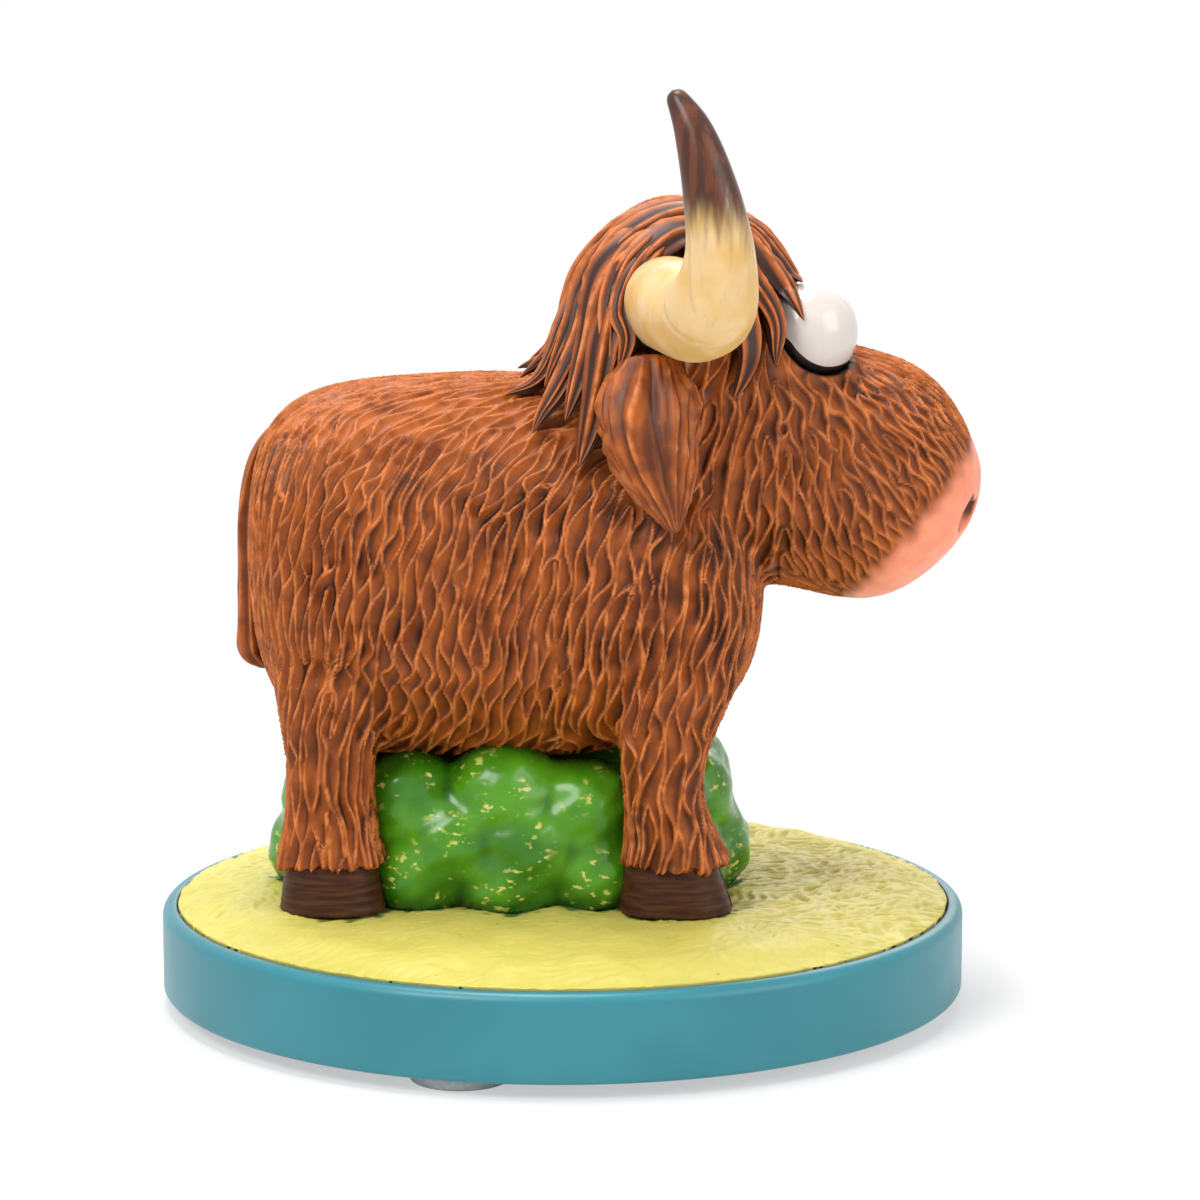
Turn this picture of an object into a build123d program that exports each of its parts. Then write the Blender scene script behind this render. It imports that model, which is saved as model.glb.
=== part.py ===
"""Shaggy long-horned cow figurine standing over a bush on a round plinth.

Millimetres, +Z up. The origin is under the plinth's middle, on the surface that the pads stand on.
The cow faces +X, and its near side is at -Y. Heights of the cow are above the ground, which is
the top of the grass plate.
"""

from build123d import *
import os
from math import copysign, cos, pi, radians, sin

# Plinth
DISC_DIAMETER = 100.0
DISC_THICKNESS = 10.5
RIM_WIDTH = 1.8
RIM_ROUND = 1.3
FOOT_ROUND = 0.6
RECESS_DEPTH = 1.6
GRASS_RISE = 1.9
GRASS_EDGE_RISE = 0.3
GRASS_SLOPE_WIDTH = 7.0
PAD_DIAMETER = 12.0
PAD_THICKNESS = 1.8
PAD_ROUND = 0.4
PAD_INSET = 2.3
PAD_COUNT = 4
PAD_TURN = -14.5

# Torso, legs and tail
CHEST_X = 24.9
BODY_LENGTH = 63.7
BODY_WIDTH = 48.0
BACK_HEIGHT = 63.5
BELLY_HEIGHT = 16.6
LEG_SPREAD = 32.0
REAR_LEG_INSET = 11.3
FRONT_LEG_INSET = 11.4
LEG_WIDTH = 12.6
HOOF_HEIGHT = 6.4
HOOF_OVERHANG = 0.8
TOE_REACH = {"front": 1.4, "rear": 0.4}
CLEFT_WIDTH = 0.8
CLEFT_DEPTH = 2.6
TAIL_DIAMETER = 3.6
TUFT_DIAMETER = 5.0

# Head
MUZZLE_X = 51.5
HEAD_LENGTH = 53.5
HEAD_WIDTH = 42.0
CROWN_HEIGHT = 81.6
JAW_HEIGHT = 34.1
EYE_LENGTH = 11.6
EYE_WIDTH = 12.0
EYE_TALL = 12.4
NOSTRIL_DIAMETER = 3.8
HORN_ROOT_DIAMETER = 11.2
HORN_TIP_DIAMETER = 1.6
HORN_REACH = 22.7
HORN_RISE = 25.4
HORN_FORWARD = 6.3
EAR_LENGTH = 20.0
EAR_WIDTH = 11.4
EAR_THICKNESS = 3.4
EAR_FLARE = 6.2
EAR_SWING = 3.2
LOCK_WIDTH = 8.4
LOCK_THICKNESS = 4.4

# Bush under the belly
BUSH_LENGTH = 55.6
BUSH_WIDTH = 37.0
BUSH_HEIGHT = 21.0
BUSH_LOBES = 12
LOBE_DEPTH = 1.7
LEG_ROOM = 0.5

# Pins that the castings are glued on
LEG_PIN_DIAMETER = 3.0
LEG_PIN_IN_LEG = 10.0
LEG_PIN_IN_DISC = 5.0
NECK_PIN_DIAMETER = 6.0
NECK_PIN_LENGTH = 18.0
HORN_PIN_DIAMETER = 2.5
HORN_PIN_LENGTH = 10.0
GLUE_GAP = 0.1

# Levels and places that follow from the sizes above
DISC_TOP = PAD_THICKNESS + DISC_THICKNESS
RECESS_FLOOR = DISC_TOP - RECESS_DEPTH
GROUND = DISC_TOP + GRASS_RISE
BACK = GROUND + BACK_HEIGHT
BELLY = GROUND + BELLY_HEIGHT
CROWN = GROUND + CROWN_HEIGHT
JAW = GROUND + JAW_HEIGHT
RUMP_X = CHEST_X - BODY_LENGTH
REAR_LEG_X = RUMP_X + REAR_LEG_INSET
FRONT_LEG_X = CHEST_X - FRONT_LEG_INSET
NAPE_X = MUZZLE_X - HEAD_LENGTH
SIDES = {"near": -1, "far": 1}
ENDS = {"front": FRONT_LEG_X, "rear": REAR_LEG_X}
UPWARD = (Align.CENTER, Align.CENTER, Align.MIN)

# Cross-sections of the torso from the rump to the chest: share of the length, then top, bottom and
# half width as shares of the torso's depth and half width
TORSO_SHAPE = [
    (0.0, 0.57, 0.57, 0.0),
    (0.01, 0.69, 0.42, 0.3),
    (0.036, 0.845, 0.24, 0.62),
    (0.09, 0.93, 0.11, 0.83),
    (0.2, 0.98, 0.02, 0.96),
    (0.37, 1.0, 0.0, 1.0),
    (0.55, 1.0, 0.0, 1.0),
    (0.7, 0.99, 0.02, 1.0),
    (0.83, 0.93, 0.07, 0.97),
    (0.92, 0.8, 0.14, 0.87),
    (0.975, 0.65, 0.25, 0.64),
    (0.995, 0.53, 0.36, 0.3),
    (1.0, 0.44, 0.44, 0.0),
]
TORSO_FULLNESS = 2.5

# The same for the head, from the nape to the muzzle
HEAD_SHAPE = [
    (0.0, 0.495, 0.495, 0.0),
    (0.015, 0.589, 0.389, 0.29),
    (0.065, 0.726, 0.242, 0.62),
    (0.13, 0.874, 0.116, 0.83),
    (0.223, 0.97, 0.05, 0.95),
    (0.335, 1.0, 0.05, 1.0),
    (0.428, 0.958, 0.08, 0.976),
    (0.511, 0.863, 0.08, 0.93),
    (0.595, 0.758, 0.065, 0.88),
    (0.706, 0.697, 0.042, 0.857),
    (0.8, 0.667, 0.06, 0.848),
    (0.883, 0.615, 0.12, 0.786),
    (0.948, 0.526, 0.2, 0.643),
    (0.985, 0.438, 0.28, 0.405),
    (1.0, 0.352, 0.352, 0.0),
]
HEAD_FULLNESS = 2.2

# Cross-sections of a leg from the hoof up into the torso: share of the height, shift forward and
# inward, half length and half width, in half leg widths
LEG_SHAPES = {
    "front": [
        (0.0, 0.1, 0.0, 1.02, 1.0),
        (0.1, 0.0, 0.0, 0.89, 0.95),
        (0.32, -0.15, 0.0, 0.79, 0.93),
        (0.53, -0.05, 0.06, 1.02, 1.04),
        (0.73, 0.1, 0.25, 1.3, 1.06),
        (0.88, 0.1, 0.5, 1.4, 0.95),
        (1.0, 0.0, 0.85, 1.1, 0.75),
    ],
    "rear": [
        (0.0, 0.0, 0.0, 1.03, 1.0),
        (0.1, 0.0, 0.0, 0.94, 0.95),
        (0.32, 0.0, 0.0, 0.84, 0.93),
        (0.6, 0.06, 0.1, 1.08, 1.06),
        (0.84, 0.2, 0.45, 1.25, 1.0),
        (1.0, 0.3, 0.8, 1.1, 0.8),
    ],
}
LEG_ROOT_SHARE = 0.46

# Shares of the head's length, half width and height from the jaw to the crown
EYE_PLACE = (0.598, 0.438, 0.743)
NOSTRIL_PLACE = (0.959, 0.4, 0.276)
HORN_PLACE = (0.273, 0.66, 0.824)
EAR_PLACE = (0.239, 0.943, 0.695)
HEAD_MIDDLE = (0.318, 0.0, 0.545)
NECK_BACK = (-0.047, 0.0, 0.642)
NECK_THROAT = (0.514, 0.0, 0.084)
MUZZLE_TOP = (0.964, 0.0, 0.425)
MUZZLE_CHIN = (0.705, 0.0, 0.05)
FORELOCKS = [
    [(0.25, 0.0, 1.0), (0.39, 0.0, 1.0), (0.51, 0.03, 0.95), (0.6, 0.06, 0.86)],
    [(0.27, 0.25, 0.99), (0.4, 0.34, 0.97), (0.51, 0.42, 0.9), (0.59, 0.48, 0.83)],
    [(0.28, 0.48, 0.95), (0.4, 0.64, 0.88), (0.47, 0.75, 0.78), (0.52, 0.8, 0.68)],
    [(0.28, 0.67, 0.9), (0.38, 0.84, 0.77), (0.44, 0.93, 0.65), (0.455, 0.95, 0.55)],
]
MANE_LOCKS = [
    [(0.3, 0.0, 1.0), (0.16, 0.0, 0.94), (0.075, 0.0, 0.79), (0.01, 0.0, 0.67), (-0.07, 0.0, 0.62)],
    [(0.28, 0.27, 0.98), (0.14, 0.34, 0.88), (0.07, 0.4, 0.75), (0.02, 0.46, 0.63), (-0.05, 0.5, 0.57)],
    [(0.26, 0.5, 0.94), (0.14, 0.62, 0.82), (0.09, 0.74, 0.7), (0.05, 0.81, 0.59), (0.01, 0.86, 0.5)],
    [(0.24, 0.68, 0.88), (0.17, 0.82, 0.76), (0.14, 0.92, 0.65), (0.12, 0.99, 0.53), (0.1, 1.04, 0.44)],
]
LOCK_TAPER = [0.8, 1.0, 0.95, 0.7, 0.25]

# Tiers of the bush: share of its height, spread, and how far its lobes are turned, in quarter lobes
BUSH_LEVELS = [
    (0.0, 0.9, 0),
    (0.25, 1.0, 0),
    (0.5, 0.93, 1),
    (0.75, 0.95, 2),
    (1.0, 0.62, 2),
]
# Bulge at the quarters of a lobe, from its top: round lobes with narrow creases
LOBE_BULGE = [1.0, 0.35, -1.0, 0.35]


def oval(half_u, half_v, fullness=2.0):
    """Smooth closed outline: an ellipse at fullness 2, squarer above it."""
    count = 16 if fullness > 2.0 else 8
    points = []
    for step in range(count):
        across, up = cos(2 * pi * step / count), sin(2 * pi * step / count)
        u = half_u * copysign(abs(across) ** (2 / fullness), across)
        v = half_v * copysign(abs(up) ** (2 / fullness), up)
        points.append((u, v))
    return make_face(Spline(*points, periodic=True))


def along_x(shape, start, length, low, high, width, fullness):
    """Solid through upright ovals along X; a station with no width is a point."""
    sections = []
    for share, top, bottom, wide in shape:
        middle = (start + share * length, 0, low + (high - low) * (top + bottom) / 2)
        if wide == 0:
            sections.append(Vertex(*middle))
            continue
        plane = Plane(middle, x_dir=(0, 1, 0), z_dir=(1, 0, 0))
        sections.append(plane * oval(wide * width / 2, (high - low) * (top - bottom) / 2, fullness))
    return loft(sections)


def along_path(points, half_widths, half_depths, inside):
    """Solid through ovals square to a path, with their flat sides turned away from an inside point."""
    sections = []
    for index, point in enumerate(points):
        before = points[max(index - 1, 0)]
        after = points[min(index + 1, len(points) - 1)]
        tangent = (after - before).normalized()
        plane = Plane(point, x_dir=tangent.cross(point - inside), z_dir=tangent)
        sections.append(plane * oval(half_widths[index], half_depths[index]))
    return loft(sections)


def on_head(share, sign=-1):
    """Point of the head from its shares, on the near side unless the sign says otherwise."""
    along, out, up = share
    return Vector(NAPE_X + along * HEAD_LENGTH, sign * out * HEAD_WIDTH / 2, JAW + up * (CROWN - JAW))


def on_torso(along, up):
    """Point of the torso's middle plane from its shares."""
    return Vector(RUMP_X + along * BODY_LENGTH, 0, BELLY + up * (BACK - BELLY))


def parting(first, last):
    """Plane through two points of the middle plane, facing the muzzle, with its origin between them."""
    run = last - first
    return Plane((first + last) / 2, x_dir=run, z_dir=run.cross(Vector(0, 1, 0)))


def in_front(plane):
    """Block of everything in front of a parting plane."""
    reach = 4 * (HEAD_LENGTH + BODY_LENGTH)
    return plane * Box(reach, reach, reach, align=UPWARD)


def mirrored(shape):
    return mirror(shape, about=Plane.XZ)


def both_sides(shape):
    return {"near": shape, "far": mirrored(shape)}


def base_disc():
    disc = Pos(0, 0, PAD_THICKNESS) * Cylinder(DISC_DIAMETER / 2, DISC_THICKNESS, align=UPWARD)
    disc = fillet(disc.edges().filter_by(GeomType.CIRCLE).sort_by(Axis.Z)[-1], RIM_ROUND)
    disc = fillet(disc.edges().filter_by(GeomType.CIRCLE).sort_by(Axis.Z)[0], FOOT_ROUND)
    recess = Cylinder(DISC_DIAMETER / 2 - RIM_WIDTH, DISC_THICKNESS, align=UPWARD)
    return disc - Pos(0, 0, RECESS_FLOOR) * recess


def grass_plate():
    """Plate in the disc's recess: level under the cow, bending down to the rim."""
    edge = DISC_DIAMETER / 2 - RIM_WIDTH - GLUE_GAP
    level = edge - GRASS_SLOPE_WIDTH
    brim = (edge, DISC_TOP + GRASS_EDGE_RISE)
    slope = TangentArc((level, GROUND), brim, tangent=(1, 0))
    sides = Polyline(brim, (edge, RECESS_FLOOR), (0, RECESS_FLOOR), (0, GROUND), (level, GROUND))
    return revolve(Plane.XZ * make_face([slope, sides]), Axis.Z)


def foot_pads():
    block = Cylinder(PAD_DIAMETER / 2, PAD_THICKNESS, align=UPWARD)
    block = fillet(block.edges().filter_by(GeomType.CIRCLE).sort_by(Axis.Z)[0], PAD_ROUND)
    circle = DISC_DIAMETER / 2 - PAD_INSET - PAD_DIAMETER / 2
    for index in range(PAD_COUNT):
        angle = radians(PAD_TURN + 360 * index / PAD_COUNT)
        yield Pos(circle * sin(angle), -circle * cos(angle), 0) * block


def leg_places():
    for end, x in ENDS.items():
        for side, sign in SIDES.items():
            yield end, side, x, sign * LEG_SPREAD / 2


def leg(shape, x, y):
    half = LEG_WIDTH / 2
    hem = GROUND + HOOF_HEIGHT
    root = BELLY + LEG_ROOT_SHARE * (BACK - BELLY)
    sections = []
    for share, ahead, inward, long, wide in shape:
        place = (x + ahead * half, y - copysign(inward * half, y), hem + share * (root - hem))
        sections.append(Plane(place) * oval(long * half, wide * half, TORSO_FULLNESS))
    return loft(sections)


def hoof(x, y, toe_reach):
    """Hoof under a leg's hair hem, longer at the toe and split there."""
    half = LEG_WIDTH / 2
    sole = Plane((x + toe_reach / 2, y, GROUND)) * oval(half + toe_reach / 2, half, TORSO_FULLNESS)
    narrow = half - HOOF_OVERHANG
    top = Plane((x, y, GROUND + HOOF_HEIGHT)) * oval(narrow, narrow, TORSO_FULLNESS)
    cleft = Box(2 * CLEFT_DEPTH, CLEFT_WIDTH, 4 * HOOF_HEIGHT)
    return loft([sole, top]) - Pos(x + toe_reach + half, y, GROUND) * cleft


def leg_pin(x, y, gap=0.0):
    length = LEG_PIN_IN_DISC + GROUND - RECESS_FLOOR + HOOF_HEIGHT + LEG_PIN_IN_LEG
    rod = Cylinder(LEG_PIN_DIAMETER / 2 + gap, length, align=UPWARD)
    return Pos(x, y, RECESS_FLOOR - LEG_PIN_IN_DISC) * rod


def horn_path():
    """Middle line of the near horn: out of the head, a little forward, then up and back."""
    root = on_head(HORN_PLACE)
    bends = [
        (0.0, 0.0, 0.0),
        (0.29, 0.35, -0.01),
        (0.64, 0.61, -0.03),
        (0.9, 0.84, 0.05),
        (1.0, 0.96, 0.27),
        (0.82, 1.0, 0.54),
        (0.52, 0.98, 0.8),
        (0.14, 0.93, 1.0),
    ]
    return [root + Vector(x * HORN_FORWARD, -y * HORN_REACH, z * HORN_RISE) for x, y, z in bends]


def horn():
    slenderness = (HORN_ROOT_DIAMETER - HORN_TIP_DIAMETER) / 2
    taper = [1.0, 1.0, 0.97, 0.9, 0.67, 0.5, 0.3, 0.0]
    radii = [HORN_TIP_DIAMETER / 2 + slenderness * share for share in taper]
    return along_path(horn_path(), radii, radii, on_head(HEAD_MIDDLE))


def horn_pin(gap=0.0):
    root, outside = horn_path()[:2]
    return Plane(root, z_dir=outside - root) * Cylinder(HORN_PIN_DIAMETER / 2 + gap, HORN_PIN_LENGTH)


def neck_pin(gap=0.0):
    plane = parting(on_head(NECK_BACK), on_head(NECK_THROAT))
    return plane * Cylinder(NECK_PIN_DIAMETER / 2 + gap, NECK_PIN_LENGTH)


def ear():
    """Near ear: a leaf that hangs from beside the horn and swings out and forward at its tip."""
    bends = [(0.0, 0.0, 0.0), (0.0, 0.52, 0.24), (0.2, 0.84, 0.5), (0.63, 0.97, 0.78), (1.0, 1.0, 1.0)]
    root = on_head(EAR_PLACE)
    points = [root + Vector(x * EAR_SWING, -y * EAR_FLARE, -z * EAR_LENGTH) for x, y, z in bends]
    wide = [EAR_WIDTH / 2 * share for share in (0.63, 1.0, 0.93, 0.56, 0.12)]
    deep = [EAR_THICKNESS / 2 * share for share in (0.94, 1.0, 0.88, 0.7, 0.3)]
    return along_path(points, wide, deep, on_head(HEAD_MIDDLE))


def eye():
    return Pos(*on_head(EYE_PLACE)) * scale(Sphere(0.5), by=(EYE_LENGTH, EYE_WIDTH, EYE_TALL))


def tail():
    """Tail down the rump, with a tuft at its end."""
    bends = [
        (0.055, 0.87),
        (0.016, 0.79),
        (0.001, 0.64),
        (0.0, 0.46),
        (0.002, 0.34),
        (0.008, 0.27),
        (0.03, 0.22),
    ]
    points = [on_torso(along, up) for along, up in bends]
    radii = [TAIL_DIAMETER / 2] * 4 + [TUFT_DIAMETER / 2 * share for share in (0.9, 1.0, 0.4)]
    return along_path(points, radii, radii, on_torso(0.5, 0.5))


def hair(locks):
    """Locks of the near side and the middle, with those off the middle repeated on the far side."""
    strands = []
    for lock in locks:
        taper = LOCK_TAPER if len(lock) == 5 else LOCK_TAPER[:3] + LOCK_TAPER[4:]
        wide = [LOCK_WIDTH / 2 * share for share in taper]
        deep = [LOCK_THICKNESS / 2 * share for share in taper]
        near = along_path([on_head(share) for share in lock], wide, deep, on_head(HEAD_MIDDLE))
        strands.append(near)
        if lock[0][1] > 0:
            strands.append(mirrored(near))
    return strands[0] + strands[1:]


def bush_outline(spread, turn):
    """Scalloped oval, with round lobes that bulge out between narrow creases."""
    quarters = len(LOBE_BULGE)
    points = []
    for step in range(quarters * BUSH_LOBES):
        angle = 2 * pi * step / (quarters * BUSH_LOBES)
        bulge = LOBE_DEPTH * LOBE_BULGE[(step + turn) % quarters]
        u = (spread * BUSH_LENGTH / 2 + bulge) * cos(angle)
        v = (spread * BUSH_WIDTH / 2 + bulge) * sin(angle)
        points.append((u, v))
    return make_face(Spline(*points, periodic=True))


def bush():
    """Clump of lobes in two tiers that fills the space between the legs and stops short of them."""
    middle = (FRONT_LEG_X + REAR_LEG_X) / 2
    levels = []
    for share, spread, turn in BUSH_LEVELS:
        plane = Plane((middle, 0, GROUND + share * BUSH_HEIGHT))
        levels.append(plane * bush_outline(spread, turn))
    sleeves = []
    for end, side, x, y in leg_places():
        reach = TOE_REACH[end]
        sleeve = Cylinder((LEG_WIDTH + reach) / 2 + LEG_ROOM, 4 * BUSH_HEIGHT)
        sleeves.append(Pos(x + reach / 2, y, GROUND) * sleeve)
    return loft(levels) - sleeves


def assemble():
    """All pieces by name, each cut to fit against the pieces that it sits on."""
    torso = along_x(TORSO_SHAPE, RUMP_X, BODY_LENGTH, BELLY, BACK, BODY_WIDTH, TORSO_FULLNESS)
    skull = along_x(HEAD_SHAPE, NAPE_X, HEAD_LENGTH, JAW, CROWN, HEAD_WIDTH, HEAD_FULLNESS)
    legs = []
    hooves = {}
    leg_pins = {}
    leg_holes = []
    for end, side, x, y in leg_places():
        legs.append(leg(LEG_SHAPES[end], x, y))
        hooves[f"hoof_{end}_{side}"] = hoof(x, y, TOE_REACH[end])
        leg_pins[f"leg_pin_{end}_{side}"] = leg_pin(x, y)
        leg_holes.append(leg_pin(x, y, GLUE_GAP))
    cow = torso + [skull, *legs]

    horns = both_sides(horn())
    horn_holes = both_sides(horn_pin(GLUE_GAP))
    eyes = both_sides(eye())
    neck = in_front(parting(on_head(NECK_BACK), on_head(NECK_THROAT)))
    snout = in_front(parting(on_head(MUZZLE_TOP), on_head(MUZZLE_CHIN)))
    body = cow - [neck, neck_pin(GLUE_GAP), *leg_holes]
    face = (cow & neck) - [*horns.values(), *eyes.values(), *horn_holes.values(), neck_pin(GLUE_GAP)]
    nostril = Pos(*on_head(NOSTRIL_PLACE)) * Sphere(NOSTRIL_DIAMETER / 2)
    head = face - snout
    muzzle = (face & snout) - [nostril, mirrored(nostril)]
    ears = both_sides(ear())
    for side in SIDES:
        ears[side] -= [skull, torso, horns[side]]
    forelock = hair(FORELOCKS) - [skull, *eyes.values(), *horns.values()]
    mane = hair(MANE_LOCKS) - [skull, torso, forelock, *horns.values(), *ears.values()]

    parts = {"base_disc": base_disc() - leg_holes, "grass_plate": grass_plate() - leg_holes}
    for index, pad in enumerate(foot_pads()):
        parts[f"foot_pad_{index + 1}"] = pad
    parts["bush"] = bush() - torso
    parts["body"] = body
    parts["tail"] = tail() - torso
    parts["head"] = head
    parts["muzzle"] = muzzle
    parts["forelock"] = forelock
    parts["mane"] = mane
    parts["neck_pin"] = neck_pin()
    for name, piece in hooves.items():
        parts[name] = piece - leg_holes
    parts.update(leg_pins)
    for side, pin in both_sides(horn_pin()).items():
        parts[f"horn_{side}"] = horns[side] - horn_holes[side]
        parts[f"horn_pin_{side}"] = pin
        parts[f"ear_{side}"] = ears[side]
        parts[f"eye_{side}"] = eyes[side]
    return parts


def main():
    os.makedirs("parts", exist_ok=True)
    for name, shape in assemble().items():
        export_step(shape, f"parts/{name}.step")


main()
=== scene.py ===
"""Painted resin cow on a round plinth: carved and dry-brushed coat, locks of hair, bush and grass.

Lengths are in millimetres until a mesh is written. The cow faces +X, its near side is at -Y, and
heights start at the plane that the foot pads stand on.
"""

from math import cos, pi, radians, sin

import bmesh
import bpy
import numpy as np
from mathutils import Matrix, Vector, bvhtree, kdtree


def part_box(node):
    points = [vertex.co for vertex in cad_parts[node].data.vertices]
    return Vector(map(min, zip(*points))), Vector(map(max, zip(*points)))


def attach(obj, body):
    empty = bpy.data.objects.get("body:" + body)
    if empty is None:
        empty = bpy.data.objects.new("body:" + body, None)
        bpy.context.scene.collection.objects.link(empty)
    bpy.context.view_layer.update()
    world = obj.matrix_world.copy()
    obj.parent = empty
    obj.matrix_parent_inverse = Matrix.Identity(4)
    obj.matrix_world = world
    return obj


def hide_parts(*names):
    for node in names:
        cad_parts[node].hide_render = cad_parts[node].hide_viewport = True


MM = 0.001
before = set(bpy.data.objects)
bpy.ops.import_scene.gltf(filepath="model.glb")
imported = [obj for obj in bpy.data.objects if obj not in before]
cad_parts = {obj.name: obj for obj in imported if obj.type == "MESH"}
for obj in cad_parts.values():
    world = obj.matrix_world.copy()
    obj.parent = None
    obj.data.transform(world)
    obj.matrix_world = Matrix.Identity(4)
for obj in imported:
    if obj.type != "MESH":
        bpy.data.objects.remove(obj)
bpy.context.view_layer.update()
rng = np.random.default_rng(58)


def box_mm(node):
    """Lowest and highest corner of a CAD node in millimetres."""
    low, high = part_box(node)
    return np.array(low) / MM, np.array(high) / MM


def middle_half(node):
    """Middle and half size of a CAD node's box in millimetres."""
    low, high = box_mm(node)
    return (low + high) / 2, (high - low) / 2


# Levels and places taken from the frame
SIDES = {"near": 1.0, "far": -1.0}
HOOVES = [f"hoof_{end}_{side}" for end in ("front", "rear") for side in SIDES]
GROUND = box_mm("hoof_rear_near")[0][2]
HEM = box_mm("hoof_rear_near")[1][2]
DISC_LOW, DISC_HIGH = box_mm("base_disc")
DISC_RADIUS = DISC_HIGH[0]
GRASS_LOW, GRASS_HIGH = box_mm("grass_plate")
GRASS_RADIUS = GRASS_HIGH[0]
EYE_MIDDLE, EYE_HALF = middle_half("eye_near")

# Coat: its cells, and the carved strokes on the flank
COAT_VOXEL = 0.46
STROKE_LENGTH, STROKE_WIDTH, STROKE_DEPTH = 10.2, 1.95, 0.75

# Lines seen from the side, by x and z: the muzzle's edge and the glue line of the neck
MUZZLE_TOP, MUZZLE_CHIN = np.array([49.6, 68.5]), np.array([35.7, 50.7])
NECK_BACK, NECK_THROAT = np.array([-4.5, 78.8]), np.array([25.5, 52.3])

# Near nostril: middle of its almond, the way that runs along it, the way that it faces, and the
# dent beside it in the solid
NOSTRIL = np.array([49.0, -10.6, 61.9])
NOSTRIL_RUN = np.array([0.31, -0.20, 0.93])
NOSTRIL_WAY = np.array([0.84, -0.44, -0.32])
NOSTRIL_DENT = np.array([49.8, -8.2, 61.8])

# Eyes: the way that the near one looks, and the pupil
GAZE = np.array([0.80, 0.52, 0.16])
PUPIL_RADIUS = 2.9
EYE_CLEARANCE = 1.12

# Middle of the head, which locks and tubes turn their outer face away from
HEAD_CORE = np.array([13.0, 0.0, 74.0])

# Horn, near side: places of its middle line and its radius there
HORN_PATH = [
    (12.6, -13.9, 87.4, 5.6),
    (14.4, -21.8, 87.2, 5.6),
    (16.6, -27.8, 86.7, 5.4),
    (18.3, -33.0, 88.7, 5.1),
    (18.9, -35.7, 94.3, 4.0),
    (17.8, -36.6, 101.1, 3.2),
    (15.9, -36.2, 107.7, 2.25),
    (13.5, -35.0, 112.4, 1.0),
]
# Heights in metres between which it turns brown
HORN_DUSK = (98.5 * MM, 105.5 * MM)

# Ear, near side: places of its middle line, half width and half thickness
EAR_PATH = [
    (10.8, -19.8, 81.3, 3.4, 1.5),
    (10.8, -23.0, 76.5, 5.7, 1.7),
    (11.4, -25.0, 71.3, 5.3, 1.5),
    (12.8, -25.8, 65.7, 3.2, 1.2),
    (14.0, -26.0, 61.2, 0.5, 0.5),
]

# Tail down the rump, with its half width
TAIL_PATH = [
    (-33.6, 0.0, 72.0, 0.9),
    (-35.9, 0.0, 69.4, 1.5),
    (-37.6, 0.0, 65.8, 1.7),
    (-38.7, 0.2, 60.0, 1.7),
    (-38.7, 0.4, 52.0, 1.7),
    (-38.4, 0.6, 46.4, 2.2),
    (-38.0, 0.6, 43.2, 2.4),
    (-36.9, 0.5, 40.9, 0.6),
]

# Locks of the near side and the middle: half width, half thickness, points of the middle line
MANE_LOCKS = [
    (3.0, 1.7, (15, 0, 98), (7, 0, 96.2), (2, 0, 89),
     (-1.2, 0, 81), (-5.6, 0, 78)),
    (2.8, 1.8, (14.5, -3, 98), (7.2, -4, 96.2), (1.8, -4, 90.4),
     (-1, -5.4, 82.4), (-5, -8, 77.6)),
    (2.8, 1.8, (13, -7, 97.2), (6.5, -9, 94.6), (2.5, -10, 89.6),
     (1, -12, 84), (-1.4, -14, 77.6)),
    (2.9, 1.9, (11, -10, 96.4), (6, -13, 93), (4, -15, 88.6),
     (2.8, -17.4, 82.4), (1.4, -21, 74.6)),
    (2.5, 1.8, (12, -11, 96.4), (7.6, -14.4, 92.6), (6.2, -17, 88),
     (5.6, -19, 83.4), (5.2, -21.4, 78.4)),
    (2.2, 1.5, (12.5, -13, 95), (8.8, -17, 91.2), (7.8, -19.2, 87.2),
     (7.8, -20.6, 83.2), (7.2, -22, 79)),
    (2.3, 1.6, (9, -5.5, 96.8), (3.4, -7, 92), (0.4, -8.4, 85.6),
     (-2, -10.6, 79.6), (-6.4, -12, 75.4)),
    (2.2, 1.5, (8, -11.4, 94.4), (3.6, -13.2, 89.4), (1.6, -15, 83.6),
     (-0.4, -17.4, 77.6), (-2.6, -19.6, 72.4)),
    (2.2, 1.4, (7, -17, 89), (5.4, -19, 84), (4.2, -20.8, 79),
     (3.6, -22.6, 73.4), (3, -23.6, 69)),
    (3.2, 1.7, (20.5, -6.5, 97.6), (14, -8, 98.2), (7.6, -10.6, 95.6),
     (3.8, -12.6, 91.2), (2.6, -15.4, 85.6)),
    (2.8, 1.6, (20, -11, 95.2), (14, -12.2, 96.2), (8.8, -14.8, 93.2),
     (6.4, -17, 89), (5.8, -18.8, 84.6)),
    (3.2, 1.7, (21, -1.6, 98.2), (14, -2.6, 99), (7.4, -4.4, 97),
     (2.6, -6.2, 91.6), (0.2, -8.4, 85)),
]
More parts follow.
